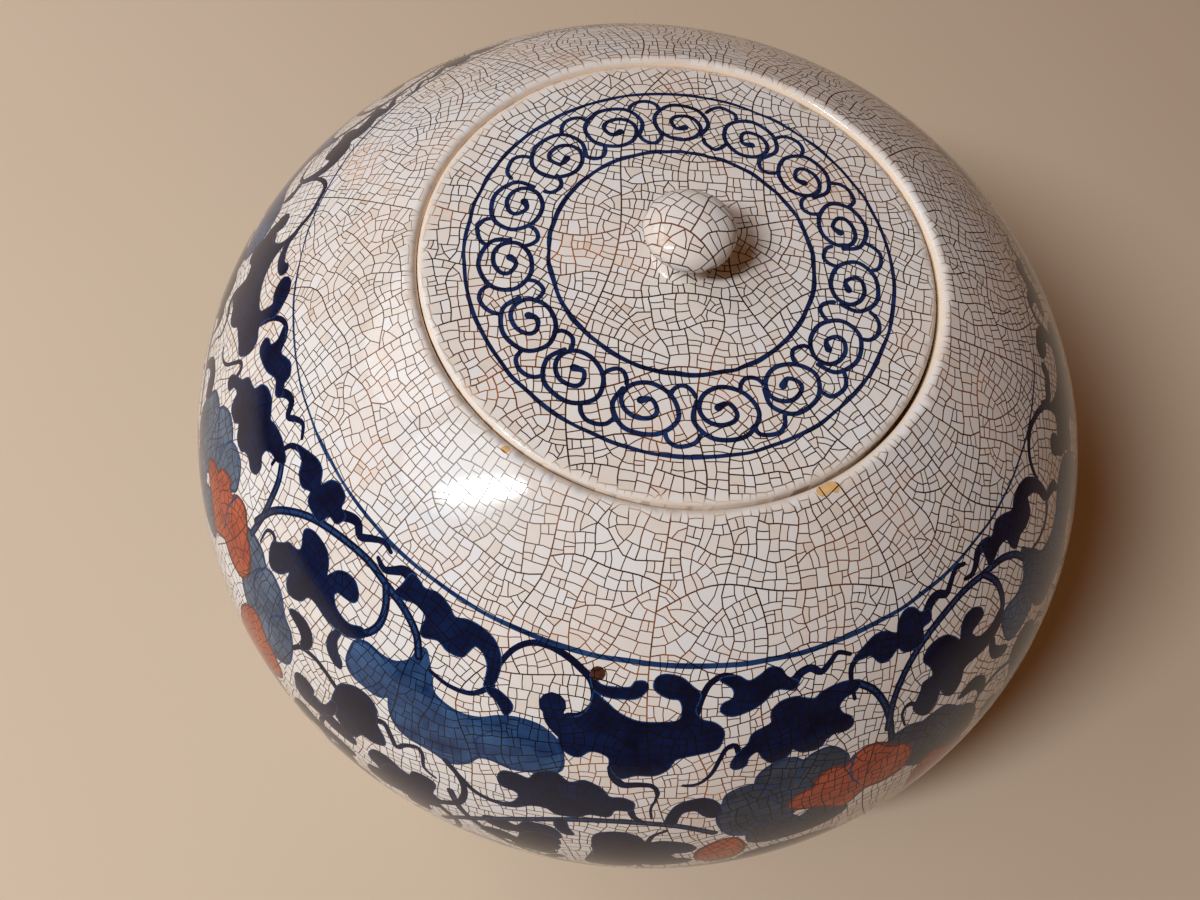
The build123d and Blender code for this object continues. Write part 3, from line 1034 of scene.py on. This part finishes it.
def paint_lid(chart):
    """All painted shapes of the lid."""
    rng = random.Random(SEED + 2)
    brush = Brush(chart)
    for radius, width in ((INNER_CIRCLE, INNER_CIRCLE_WIDTH), (OUTER_CIRCLE, OUTER_CIRCLE_WIDTH)):
        points = []
        for bearing in range(0, 360, 5):
            place = radius + rng.gauss(0, RING_WAVER)
            points.append(polar(bearing, place, width + rng.gauss(0, CIRCLE_PRESSURE)))
        brush.pressed_stroke("cobalt_lid", points, closed=True)
    pitch = 360 / SCROLL_COUNT
    for i in range(SCROLL_COUNT):
        middle = i * pitch + FIRST_SCROLL_DEG + rng.uniform(-1.2, 1.2)
        radius = SCROLL_RING + rng.uniform(-0.4, 0.4)
        size = rng.uniform(0.95, 1.05)
        lean = rng.uniform(-1.2, -0.5)
        scroll = []
        for turn_deg, reach in SCROLL:
            angle = lean - math.radians(turn_deg)
            reach *= size * rng.uniform(0.97, 1.03)
            bearing = middle - math.degrees(SCROLL_STRETCH * reach * math.cos(angle) / radius)
            width = SCROLL_WIDTH if scroll else SCROLL_START_WIDTH
            scroll.append(polar(bearing, radius + reach * math.sin(angle), width))
        brush.pressed_stroke("cobalt_lid", scroll)
        for arc in (OUTER_LINK, INNER_LINK):
            points = []
            for share, arc_radius in arc:
                stray = rng.uniform(-STRAY_MM, STRAY_MM)
                points.append(polar(middle + pitch * share, arc_radius + stray, LINK_WIDTH))
            brush.pressed_stroke("cobalt_lid", points)
    return brush.shapes


# ---------------------------------------------------------------- cutting the sheet

# For delaunay_2d_cdt: triangles inside the outlines only, and points this near are one point
CDT_INSIDE = 1
CDT_NEAR = 1e-6

# Steps along a sector's edges, and between the points of its plain back, in millimetres
ACROSS_STEP = 2.0
DOWN_STEP = 2.5
BACK_SPACING = 6.0

# Faces that meet at more than this stay sharply divided
SHARP_DEG = 38


def box_of(outline):
    """Lowest and highest corners of the box round an outline."""
    xs, ys = zip(*outline)
    return (min(xs), min(ys)), (max(xs), max(ys))


def boxes_meet(a, b):
    """Whether two boxes overlap."""
    return all(a[0][k] < b[1][k] and b[0][k] < a[1][k] for k in (0, 1))


def cut_sheet(domain, cells, shapes):
    """Cuts cells and painted shapes into one set of triangles inside the domain outline.
    Returns chart points and (corners, material name, tone) for each triangle."""
    domain_box = box_of(domain)
    cells = [c for c in cells if boxes_meet(domain_box, box_of(c[0]))]
    shapes = [s for s in shapes if boxes_meet(domain_box, box_of(s[1]))]
    outlines = [domain] + [c[0] for c in cells] + [s[1] for s in shapes]
    first_shape = 1 + len(cells)
    points = []
    faces = []
    for outline in outlines:
        faces.append(list(range(len(points), len(points) + len(outline))))
        points.extend(Vector((p[0], p[1])) for p in outline)
    made, _, corners, _, _, sources = delaunay_2d_cdt(points, [], faces, CDT_INSIDE, CDT_NEAR, True)
    triangles = []
    for corner, ids in zip(corners, sources):
        if 0 not in ids:
            continue
        top = max(ids)
        paint = shapes[top - first_shape][0] if top >= first_shape else None
        cell = max((i for i in ids if i < first_shape), default=0)
        if cell:
            triangles.append((corner, paint or "glaze", cells[cell - 1][1]))
        else:
            triangles.append((corner, "crack_in_paint" if paint else "crack", 0.5))
    return [(p[0], p[1]) for p in made], triangles


def open_edges(triangles):
    """Edges that only one triangle uses, in that triangle's direction."""
    seen = {}
    for corner, _, _ in triangles:
        for a, b in zip(corner, corner[1:] + corner[:1]):
            key = (min(a, b), max(a, b))
            seen[key] = None if key in seen else (a, b)
    return [edge for edge in seen.values() if edge]


class Builder:
    """Gathers vertices and faces of one piece, then makes its mesh object."""

    def __init__(self):
        self.vertices = []
        self.faces = []
        self.face_materials = []
        self.tones = []
        self.normals = {}
        self.smooth_count = 0

    def vertex(self, point):
        """Number of a new vertex at a point given in millimetres."""
        self.vertices.append(tuple(v * MM for v in point))
        return len(self.vertices) - 1

    def face(self, corners, material, tone=0.5):
        """Adds a face with its material and its share of stain."""
        self.faces.append(corners)
        self.face_materials.append(material)
        self.tones.append(tone)

    def sheet(self, chart, points, triangles):
        """Lifts a cut sheet onto its surface and returns the vertex number of each chart point."""
        used = sorted({i for corner, _, _ in triangles for i in corner})
        number = {}
        for i in used:
            place, normal = chart.place(*points[i])
            number[i] = self.vertex(place)
            self.normals[number[i]] = normal
        self.smooth_count = len(triangles)
        for corner, material, tone in triangles:
            self.face([number[i] for i in corner], material, tone)
        return number

    def make(self, name):
        """The mesh object. A lifted sheet takes its surface's own normals."""
        mesh = bpy.data.meshes.new(name)
        mesh.from_pydata(self.vertices, [], self.faces)
        names = sorted(set(self.face_materials))
        for material in names:
            mesh.materials.append(MATERIALS[material])
        slots = [names.index(m) for m in self.face_materials]
        mesh.polygons.foreach_set("material_index", slots)
        tone = mesh.attributes.new("tone", "FLOAT", "FACE")
        tone.data.foreach_set("value", self.tones)
        mesh.polygons.foreach_set("use_smooth", [True] * len(self.faces))
        mesh.update()
        mesh.set_sharp_from_angle(angle=math.radians(SHARP_DEG))
        if self.normals:
            loops = [(0.0, 0.0, 0.0)] * len(mesh.loops)
            for polygon in mesh.polygons[: self.smooth_count]:
                for loop in polygon.loop_indices:
                    loops[loop] = self.normals[mesh.loops[loop].vertex_index]
            mesh.normals_split_custom_set(loops)
        piece = bpy.data.objects.new(name, mesh)
        bpy.context.scene.collection.objects.link(piece)
        return piece


def wall_sector(name, chart, cells, shapes, x0, x1, y0, y1):
    """A closed shell: the glazed, painted wall between two bearings, with a plain back."""
    across = round((x1 - x0) / ACROSS_STEP)
    down = round((y1 - y0) / DOWN_STEP)
    top = [(x0 + (x1 - x0) * i / across, y0) for i in range(across)]
    right = [(x1, y0 + (y1 - y0) * i / down) for i in range(down)]
    bottom = [(x1 - (x1 - x0) * i / across, y1) for i in range(across)]
    left = [(x0, y1 - (y1 - y0) * i / down) for i in range(down)]
    points, triangles = cut_sheet(top + right + bottom + left, cells, shapes)
    # the chart's y runs down the wall, so its triangles are turned over to face outwards
    triangles = [(corner[::-1], material, tone) for corner, material, tone in triangles]
    build = Builder()
    number = build.sheet(chart, points, triangles)
    edges = open_edges(triangles)
    back_points = sorted({i for edge in edges for i in edge})
    place_of = {i: k for k, i in enumerate(back_points)}
    back = [Vector(points[i]) for i in back_points]
    for i in range(1, int((x1 - x0) / BACK_SPACING)):
        for j in range(1, int((y1 - y0) / BACK_SPACING)):
            back.append(Vector((x0 + i * BACK_SPACING, y0 + j * BACK_SPACING)))
    back_edges = [(place_of[a], place_of[b]) for a, b in edges]
    made, _, corners, origins, _, _ = delaunay_2d_cdt(back, back_edges, [], CDT_INSIDE, CDT_NEAR, True)
    back_number = []
    for p in made:
        place, normal = chart.place(p[0], p[1])
        back_number.append(build.vertex([v - n * SHELL_DEPTH for v, n in zip(place, normal)]))
    home = {}
    for k, sources in enumerate(origins):
        for source in sources:
            home[source] = k
    for corner in corners:
        build.face([back_number[i] for i in corner], "bare_clay")
    for a, b in edges:
        low_a = back_number[home[place_of[a]]]
        low_b = back_number[home[place_of[b]]]
        side = [number[b], number[a], low_a, low_b]
        # where the back's triangulation has merged the two lower corners, the side is a triangle
        build.face(side if low_a != low_b else side[:3], "bare_clay")
    return build.make(name)


def round_top(name, chart, cells, shapes, reach, below, centre):
    """A closed turned piece: a cut sheet on top, then rings down an outline, then a middle point.
    below lists (radius, height, material of the band above it); centre is the last height."""
    points, triangles = cut_sheet(circle_line(reach, LID_SEGMENTS), cells, shapes)
    build = Builder()
    number = build.sheet(chart, points, triangles)
    edges = open_edges(triangles)
    around = sorted({a for a, _ in edges}, key=lambda i: math.atan2(points[i][1], points[i][0]))
    ring = [number[i] for i in around]
    bearings = [math.atan2(points[i][1], points[i][0]) for i in around]
    size = len(ring)
    for radius, z, material in below:
        lower = [build.vertex((radius * math.cos(a), radius * math.sin(a), z)) for a in bearings]
        for i in range(size):
            j = (i + 1) % size
            build.face([ring[j], ring[i], lower[i], lower[j]], material)
        ring = lower
    middle = build.vertex((0, 0, centre))
    for i in range(size):
        build.face([ring[(i + 1) % size], ring[i], middle], below[-1][2])
    return build.make(name)


def slip(piece):
    """Slides a piece of the lid sideways in its recess, to where the lid happens to lie."""
    piece.data.transform(Matrix.Translation(Vector(LID_SLIP) * MM))


def turned_piece(name, outline):
    """A closed turned solid. outline lists (radius, height, material of the band above it), starting and
    ending on the axis, with the solid on its left."""
    build = Builder()
    first = build.vertex((0, 0, outline[0][1]))
    last = build.vertex((0, 0, outline[-1][1]))
    rings = []
    for radius, z, _ in outline[1:-1]:
        rings.append([build.vertex((x, y, z)) for x, y in circle_line(radius, BOWL_SEGMENTS)])
    for i in range(BOWL_SEGMENTS):
        j = (i + 1) % BOWL_SEGMENTS
        build.face([first, rings[0][j], rings[0][i]], outline[1][2])
        build.face([last, rings[-1][i], rings[-1][j]], outline[-1][2])
        for upper, lower, (_, _, material) in zip(rings, rings[1:], outline[2:]):
            build.face([upper[i], upper[j], lower[j], lower[i]], material)
    return build.make(name)


# ---------------------------------------------------------------- materials


def linear(r, g, b):
    """Scene colour of an 8-bit display colour."""
    out = []
    for v in (r, g, b):
        v /= 255
        out.append(v / 12.92 if v <= 0.04045 else ((v + 0.055) / 1.055) ** 2.4)
    return (*out, 1.0)


class Shader:
    """A new node material with short ways to add the nodes used here."""

    def __init__(self, name, roughness):
        self.material = bpy.data.materials.new(name)
        self.material.use_nodes = True
        self.nodes = self.material.node_tree.nodes
        self.links = self.material.node_tree.links
        self.surface = self.nodes["Principled BSDF"]
        self.surface.inputs["Roughness"].default_value = roughness
        self.surface.inputs["Specular IOR Level"].default_value = SPECULAR
        self.position = self.nodes.new("ShaderNodeTexCoord").outputs["Object"]
        MATERIALS[name] = self.material

    def noise(self, size_mm, detail=2.0, roughness=0.5):
        """Noise whose features are about this large."""
        node = self.nodes.new("ShaderNodeTexNoise")
        node.inputs["Scale"].default_value = 1.0 / (size_mm * MM)
        node.inputs["Detail"].default_value = detail
        node.inputs["Roughness"].default_value = roughness
        self.links.new(self.position, node.inputs["Vector"])
        return node.outputs["Fac"]

    def clouds(self, size_mm, detail=2.0, roughness=0.5, to_low=0.0, to_high=1.0):
        """Noise spread over the whole of a range."""
        return self.span(self.noise(size_mm, detail, roughness), 0.3, 0.7, to_low, to_high)

    def tone(self):
        """The face's own share of stain."""
        node = self.nodes.new("ShaderNodeAttribute")
        node.attribute_name = "tone"
        return node.outputs["Fac"]

    def radius(self):
        """Distance from the turning axis, in metres."""
        split = self.nodes.new("ShaderNodeSeparateXYZ")
        self.links.new(self.position, split.inputs[0])
        flat = self.nodes.new("ShaderNodeCombineXYZ")
        self.links.new(split.outputs[0], flat.inputs[0])
        self.links.new(split.outputs[1], flat.inputs[1])
        size = self.nodes.new("ShaderNodeVectorMath")
        size.operation = "LENGTH"
        self.links.new(flat.outputs[0], size.inputs[0])
        return size.outputs["Value"]

    def margin(self, low_mm, high_mm):
        """0 beside the lip and the lid's edge, where the glaze pulls thin, and 1 farther away. The cracks
        use it for a painted highlight along these edges.
        """
        away = self.math("ABSOLUTE", self.math("SUBTRACT", self.radius(), MOUTH_RADIUS * MM), 0.0)
        return self.span(away, low_mm * MM, high_mm * MM)

    def span(self, value, low, high, to_low=0.0, to_high=1.0):
        """The value mapped from one range onto another, and kept within it."""
        node = self.nodes.new("ShaderNodeMapRange")
        node.inputs["From Min"].default_value = low
        node.inputs["From Max"].default_value = high
        node.inputs["To Min"].default_value = to_low
        node.inputs["To Max"].default_value = to_high
        self.links.new(value, node.inputs["Value"])
        return node.outputs["Result"]

    def math(self, operation, a, b):
        """One arithmetic step on sockets or plain numbers."""
        node = self.nodes.new("ShaderNodeMath")
        node.operation = operation
        for socket, value in zip(node.inputs, (a, b)):
            if isinstance(value, (int, float)):
                socket.default_value = value
            else:
                self.links.new(value, socket)
        return node.outputs[0]

    def ramp(self, value, stops):
        """Colour along a ramp of (place, 8-bit display colour)."""
        node = self.nodes.new("ShaderNodeValToRGB")
        elements = node.color_ramp.elements
        while len(elements) < len(stops):
            elements.new(0.5)
        for element, (place, colour) in zip(elements, stops):
            element.position = place
            element.color = linear(*colour)
        self.links.new(value, node.inputs["Fac"])
        return node.outputs["Color"]

    def mix(self, share, a, b):
        """Colour between a and b, which are sockets or 8-bit display colours."""
        node = self.nodes.new("ShaderNodeMix")
        node.data_type = "RGBA"
        self.links.new(share, node.inputs["Factor"])
        for name, value in (("A", a), ("B", b)):
            socket = [s for s in node.inputs if s.name == name and s.type == "RGBA"][0]
            if isinstance(value, tuple):
                socket.default_value = linear(*value)
            else:
                self.links.new(value, socket)
        return [s for s in node.outputs if s.type == "RGBA"][0]

    def bump(self, value, strength, depth_mm):
        """Makes the surface uneven."""
        node = self.nodes.new("ShaderNodeBump")
        node.inputs["Strength"].default_value = strength
        node.inputs["Distance"].default_value = depth_mm * MM
        self.links.new(value, node.inputs["Height"])
        self.links.new(node.outputs["Normal"], self.surface.inputs["Normal"])

    def ripple(self):
        """The glaze's slight unevenness."""
        self.bump(self.noise(9, 1.0), 0.05, 0.25)

    def colour(self, value):
        """Gives the surface its colour."""
        self.links.new(value, self.surface.inputs["Base Color"])


MATERIALS = {}
SPECULAR = 0.34
GLAZE_ROUGHNESS = 0.065
GLAZE_STOPS = [
    (0.0, (224, 226, 230)),
    (0.35, (225, 222, 219)),
    (0.7, (220, 211, 203)),
    (1.0, (208, 194, 180)),
]
LIP_ORANGE = (238, 218, 195)


def glaze_base(shader):
    """Colour of clear glaze over pale clay: cell by cell, with broad warm and cool clouds."""
    broad = shader.clouds(45, to_low=-0.25, to_high=0.25)
    fine = shader.clouds(1.6, 3.0, to_low=-0.06, to_high=0.06)
    value = shader.math("ADD", shader.math("ADD", shader.tone(), broad), fine)
    return shader.mix(shader.margin(0.1, 0.8), LIP_ORANGE, shader.ramp(value, GLAZE_STOPS))


def make_glaze():
    """Clear gloss glaze."""
    shader = Shader("glaze", GLAZE_ROUGHNESS)
    shader.colour(glaze_base(shader))
    shader.ripple()


def make_crack():
    """Stain in the cracks: brown to orange, fading out towards the glaze's edge as a painted highlight
    along the lip and the lid's edge.
    """
    shader = Shader("crack", 0.3)
    stain = shader.ramp(
        shader.clouds(22, 3.0, 0.6),
        [(0.0, (36, 20, 11)), (0.45, (64, 36, 19)), (0.75, (112, 63, 30)), (1.0, (160, 96, 46))],
    )
    # near the lip and the lid's edge the cracks fade to the pale lip colour: painted highlight
    shader.colour(shader.mix(shader.margin(0.8, 3.0), LIP_ORANGE, stain))


def make_paint(name, dark, pale, size_mm):
    """Underglaze colour whose strength pools and thins."""
    shader = Shader(name, GLAZE_ROUGHNESS)
    by_cell = shader.span(shader.tone(), 0, 1, -0.1, 0.1)
    pool = shader.math("ADD", shader.noise(size_mm, 3.0, 0.6), by_cell)
    shader.colour(shader.ramp(shader.span(pool, 0.3, 0.7), [(0.0, dark), (1.0, pale)]))
    shader.ripple()


def make_bare_clay():
    """Unglazed clay: cream with warm flashes, fine grain and a few brown specks."""
    shader = Shader("bare_clay", 0.72)
    flash = shader.ramp(
        shader.clouds(14, 3.0, 0.6),
        [(0.0, (214, 178, 138)), (0.5, (232, 204, 166)), (1.0, (240, 216, 182))],
    )
    speck = shader.span(shader.noise(1.1, 2.0), 0.66, 0.72)
    shader.colour(shader.mix(speck, flash, (132, 92, 58)))
    shader.bump(shader.noise(0.5, 3.0, 0.7), 0.5, 0.15)


def make_inner_glaze():
    """Glaze out of sight inside the bowl and under the lid, with its own fine crackle."""
    shader = Shader("inner_glaze", 0.18)
    cells = shader.nodes.new("ShaderNodeTexVoronoi")
    cells.feature = "DISTANCE_TO_EDGE"
    cells.inputs["Scale"].default_value = 1.0 / (4.2 * MM)
    bent = shader.nodes.new("ShaderNodeVectorMath")
    shader.links.new(shader.position, bent.inputs[0])
    shift = shader.nodes.new("ShaderNodeTexNoise")
    shift.inputs["Scale"].default_value = 1.0 / (5 * MM)
    small = shader.nodes.new("ShaderNodeVectorMath")
    small.operation = "SCALE"
    small.inputs["Scale"].default_value = 1.2 * MM
    shader.links.new(shader.position, shift.inputs["Vector"])
    shader.links.new(shift.outputs["Color"], small.inputs[0])
    shader.links.new(small.outputs["Vector"], bent.inputs[1])
    shader.links.new(bent.outputs["Vector"], cells.inputs["Vector"])
    glaze = shader.ramp(shader.clouds(30), GLAZE_STOPS)
    line = shader.span(cells.outputs["Distance"], 0.03, 0.06, 1.0, 0.0)
    shader.colour(shader.mix(line, glaze, (110, 80, 60)))


# Paints as (name, colour where it pools, colour where it thins, size of the pools in mm)
PAINTS = [
    ("crack_in_paint", (6, 7, 14), (20, 18, 26), 12),
    ("cobalt_dark", (4, 13, 40), (10, 30, 70), 10),
    ("cobalt_line", (16, 42, 86), (40, 76, 124), 12),
    ("cobalt_lid", (11, 24, 58), (26, 50, 98), 12),
    ("cobalt_wash", (14, 42, 86), (60, 98, 142), 13),
    ("grey_wash", (44, 64, 90), (92, 112, 136), 9),
    # a darker copy of the grey wash for the flowers of the front repeat: painted shade
    ("slate_wash", (30, 40, 58), (62, 76, 98), 9),
    ("iron_red", (148, 56, 36), (186, 90, 58), 9),
    ("red_line", (84, 34, 34), (120, 54, 44), 9),
    ("iron_spot", (58, 34, 26), (96, 58, 38), 2),
    ("ochre_glaze", (208, 160, 96), (226, 188, 134), 4),
]


def make_materials():
    """Every material that the pieces use."""
    make_glaze()
    make_crack()
    for paint in PAINTS:
        make_paint(*paint)
    make_bare_clay()
    make_inner_glaze()


# ---------------------------------------------------------------- pieces


def banded(points, material):
    """Outline points with the material of the band above each."""
    return [(r, z, material) for r, z in points]


def bowl_core_outline(path):
    """The bowl's clay from the middle of its inside, over the rim and down to the foot. It is set back
    where the wall's shells cover it."""
    outline = [(0, EQUATOR_Z - INNER_DROP, None)]
    inside = ellipse_line(-90, 0, INNER_RADIUS, INNER_DROP, EQUATOR_Z, 40)
    blend_deg = ellipse_deg(LEDGE_BLEND_RADIUS, INNER_RADIUS)
    inside += ellipse_line(0, blend_deg, INNER_RADIUS, INNER_RISE, EQUATOR_Z, 30)[1:]
    outline += banded(inside[1:], "inner_glaze")
    soft = LEDGE_ROUNDING
    soft_r = LEDGE_RADIUS + soft
    glaze_z = LEDGE_LOW_Z + LEDGE_GLAZE_RISE
    outline.append((soft_r, glaze_z, "inner_glaze"))
    outline += banded(arc_line(soft_r, glaze_z + soft, soft, 250, 180, 4), "bare_clay")
    outline += banded(arc_line(soft_r, SEAT_Z - soft, soft, 180, 90, 5), "bare_clay")
    outline.append((MOUTH_RADIUS, SEAT_Z, "bare_clay"))
    top = path.marks[0] + BARE_LIP
    for i in range(LIP_STEPS + 1):
        r, z, _, _ = path.at(path.marks[0] + BARE_LIP * i / LIP_STEPS)
        outline.append((r, z, "glaze"))
    end = path.marks[-1]
    for i in range(CORE_STEPS + 1):
        r, z, nr, nz = path.at(top + (end - FOOT_STRIP - top) * i / CORE_STEPS)
        outline.append((r - nr * CORE_INSET, z - nz * CORE_INSET, "bare_clay"))
    r, z, _, _ = path.at(end)
    edge = FOOT_ROUNDING
    outline.append((FOOT_OUTER_RADIUS, z, "inner_glaze"))
    outline.append((FOOT_OUTER_RADIUS, edge + FOOT_BARE, "inner_glaze"))
    outline += banded(arc_line(FOOT_OUTER_RADIUS - edge, edge, edge, 0, -90, 5), "bare_clay")
    outline += banded(arc_line(FOOT_INNER_RADIUS + edge, edge, edge, -90, -180, 5), "bare_clay")
    outline.append((FOOT_INNER_RADIUS, FOOT_RECESS, "bare_clay"))
    outline.append((0, FOOT_RECESS, "bare_clay"))
    return outline


def make_bowl():
    """The bowl's body, and the sectors of its wall. The crackle closes on itself along an uneven seam."""
    path = wall_path()
    chart = WallChart(path)
    top, bottom = path.marks[0] + BARE_LIP, path.marks[-1]
    seam_rng = random.Random(SEED + 7)
    turn = FULL_TURN * MAP_RADIUS
    left = []
    for i in range(SEAM_STEPS + 1):
        stray = seam_rng.uniform(-0.8, 0.8)
        left.append((chart_x(SEAM_BEARING) + stray, top + (bottom - top) * i / SEAM_STEPS))
    right = [(x + turn, y) for x, y in left]
    cells = finished_cells(left[:1] + right + left[:0:-1], chart, WALL_CELL, random.Random(SEED))
    # the same ring of cells one turn earlier, so that the sectors on both sides of the seam are covered
    cells += [([(x - turn, y) for x, y in outline], tone) for outline, tone in cells]
    shapes = paint_wall(chart)
    sectors = []
    width = turn / SECTOR_COUNT
    for i in range(SECTOR_COUNT):
        start = chart_x(FIRST_BEARING) + i * width
        name = f"bowl_wall_{i + 1}"
        sectors.append(wall_sector(name, chart, cells, shapes, start, start + width, top, bottom))
    core = turned_piece("bowl_body", bowl_core_outline(path))
    return core, sectors


def make_lid():
    """The lid, with crackle and painting on top, and its seat, ring and hollow below."""
    path = lid_path()
    chart = CapChart(path)
    reach = path.marks[-1] - LID_EDGE_STRIP
    outline = circle_line(reach + CRACKLE_OVERHANG, 96)
    cells = finished_cells(outline, chart, LID_CELL, random.Random(SEED + 11))
    shapes = paint_lid(chart)
    edge = SMALL_ROUNDING
    below = [(LID_RADIUS, SEAT_Z + edge + LID_BARE, "glaze")]
    below += banded(arc_line(LID_RADIUS - edge, SEAT_Z + edge, edge, 0, -90, 4), "bare_clay")
    below.append((RING_OUTER_RADIUS, SEAT_Z, "bare_clay"))
    ring_z = RING_LOW_Z + edge
    below += banded(arc_line(RING_OUTER_RADIUS - edge, ring_z, edge, 0, -90, 4), "bare_clay")
    below += banded(arc_line(RING_INNER_RADIUS + edge, ring_z, edge, -90, -180, 4), "bare_clay")
    ball_z = LID_TOP_Z - LID_THICKNESS - DOME_RADIUS
    for radius in (RING_INNER_RADIUS, 42, 30, 18, 6):
        z = ball_z + math.sqrt(DOME_RADIUS**2 - radius * radius)
        below.append((radius, z, "inner_glaze"))
    return round_top("lid_shell", chart, cells, shapes, reach, below, LID_TOP_Z - LID_THICKNESS)


def make_knob():
    """The knob, with crackle all over and a plain base."""
    path = knob_path()
    chart = CapChart(path)
    reach = path.marks[-1]
    outline = circle_line(reach + CRACKLE_OVERHANG, 48)
    cells = finished_cells(outline, chart, KNOB_CELL, random.Random(SEED + 23))
    base_z = path.points[-1][1]
    below = [(NECK_FOOT_RADIUS - BASE_INSET, base_z - BASE_DROP, "bare_clay")]
    return round_top("knob_shell", chart, cells, [], reach, below, base_z)


make_materials()
core, sectors = make_bowl()
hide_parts("bowl")
for piece in [core] + sectors:
    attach(piece, "bowl")
for piece, node in ((make_lid(), "lid"), (make_knob(), "knob")):
    slip(piece)
    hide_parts(node)
    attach(piece, "lid")


# ---------------------------------------------------------------- stage

LIGHT_TARGET = Vector((0, 0, 0.12))
LIGHT_DISTANCE = 1.2

# Camera, as fitted to the circles on the pot: yaw, pitch and roll in degrees, and its place in metres
CAMERA_TURN = (-3.69, 64.43, -11.98)
CAMERA_PLACE = (0, -0.1529, 0.3726)
LENS_MM = 33.0
SENSOR_MM = 36.0


def make_floor():
    """Pale paper under the bowl, larger than the picture shows."""
    mesh = bpy.data.meshes.new("floor")
    side = 3.0
    corners = [(-side, -side, 0), (side, -side, 0), (side, side, 0), (-side, side, 0)]
    mesh.from_pydata(corners, [], [(0, 1, 2, 3)])
    shader = Shader("floor_paper", 0.9)
    shader.colour(shader.ramp(shader.noise(400, 2.0), [(0.0, (208, 190, 168)), (1.0, (217, 200, 179))]))
    mesh.materials.append(shader.material)
    floor = bpy.data.objects.new("floor", mesh)
    bpy.context.scene.collection.objects.link(floor)


def make_light(name, direction, width, depth, spin_deg, watts, colour):
    """Soft oval light on the bowl from a direction, turned about its own axis."""
    data = bpy.data.lights.new(name, "AREA")
    data.shape = "ELLIPSE"
    data.size = width
    data.size_y = depth
    data.energy = watts
    data.color = colour
    light = bpy.data.objects.new(name, data)
    bpy.context.scene.collection.objects.link(light)
    away = Vector(direction).normalized()
    light.location = LIGHT_TARGET + away * LIGHT_DISTANCE
    spin = Quaternion((0, 0, 1), math.radians(spin_deg))
    light.rotation_euler = ((-away).to_track_quat("-Z", "Y") @ spin).to_euler()


def make_world(colour, strength):
    """Warm light from the room on all sides."""
    world = bpy.data.worlds.new("room")
    world.use_nodes = True
    background = world.node_tree.nodes["Background"]
    background.inputs["Color"].default_value = colour
    background.inputs["Strength"].default_value = strength
    bpy.context.scene.world = world


def make_camera():
    """Looks down at the lid from in front."""
    yaw, pitch, roll = (math.radians(v) for v in CAMERA_TURN)
    forward = Vector((math.sin(yaw) * math.cos(pitch), math.cos(yaw) * math.cos(pitch), -math.sin(pitch)))
    right = Vector((math.cos(yaw), -math.sin(yaw), 0))
    down = forward.cross(right)
    turned_right = right * math.cos(roll) + down * math.sin(roll)
    turned_down = down * math.cos(roll) - right * math.sin(roll)
    axes = Matrix((turned_right, -turned_down, -forward)).transposed().to_4x4()
    data = bpy.data.cameras.new("camera")
    data.lens = LENS_MM
    data.sensor_width = SENSOR_MM
    camera = bpy.data.objects.new("camera", data)
    camera.matrix_world = Matrix.Translation(CAMERA_PLACE) @ axes
    bpy.context.scene.collection.objects.link(camera)
    bpy.context.scene.camera = camera


make_floor()
# direction from the bowl, width and depth in metres, spin in degrees, watts and colour
make_light("key", (-0.465, -0.475, 0.747), 0.42, 0.1, 62, 9.3, (0.98, 0.995, 1.0))
make_light("sheen", (-0.56, -0.42, 0.72), 0.55, 0.42, 62, 1.8, (0.93, 0.96, 1.0))
make_light("window", (-0.74, 0.05, 0.67), 0.7, 0.6, 0, 3.1, (1.0, 0.99, 0.98))
make_world(linear(220, 150, 92), 0.17)
make_camera()
bpy.context.scene.view_settings.view_transform = "Standard"
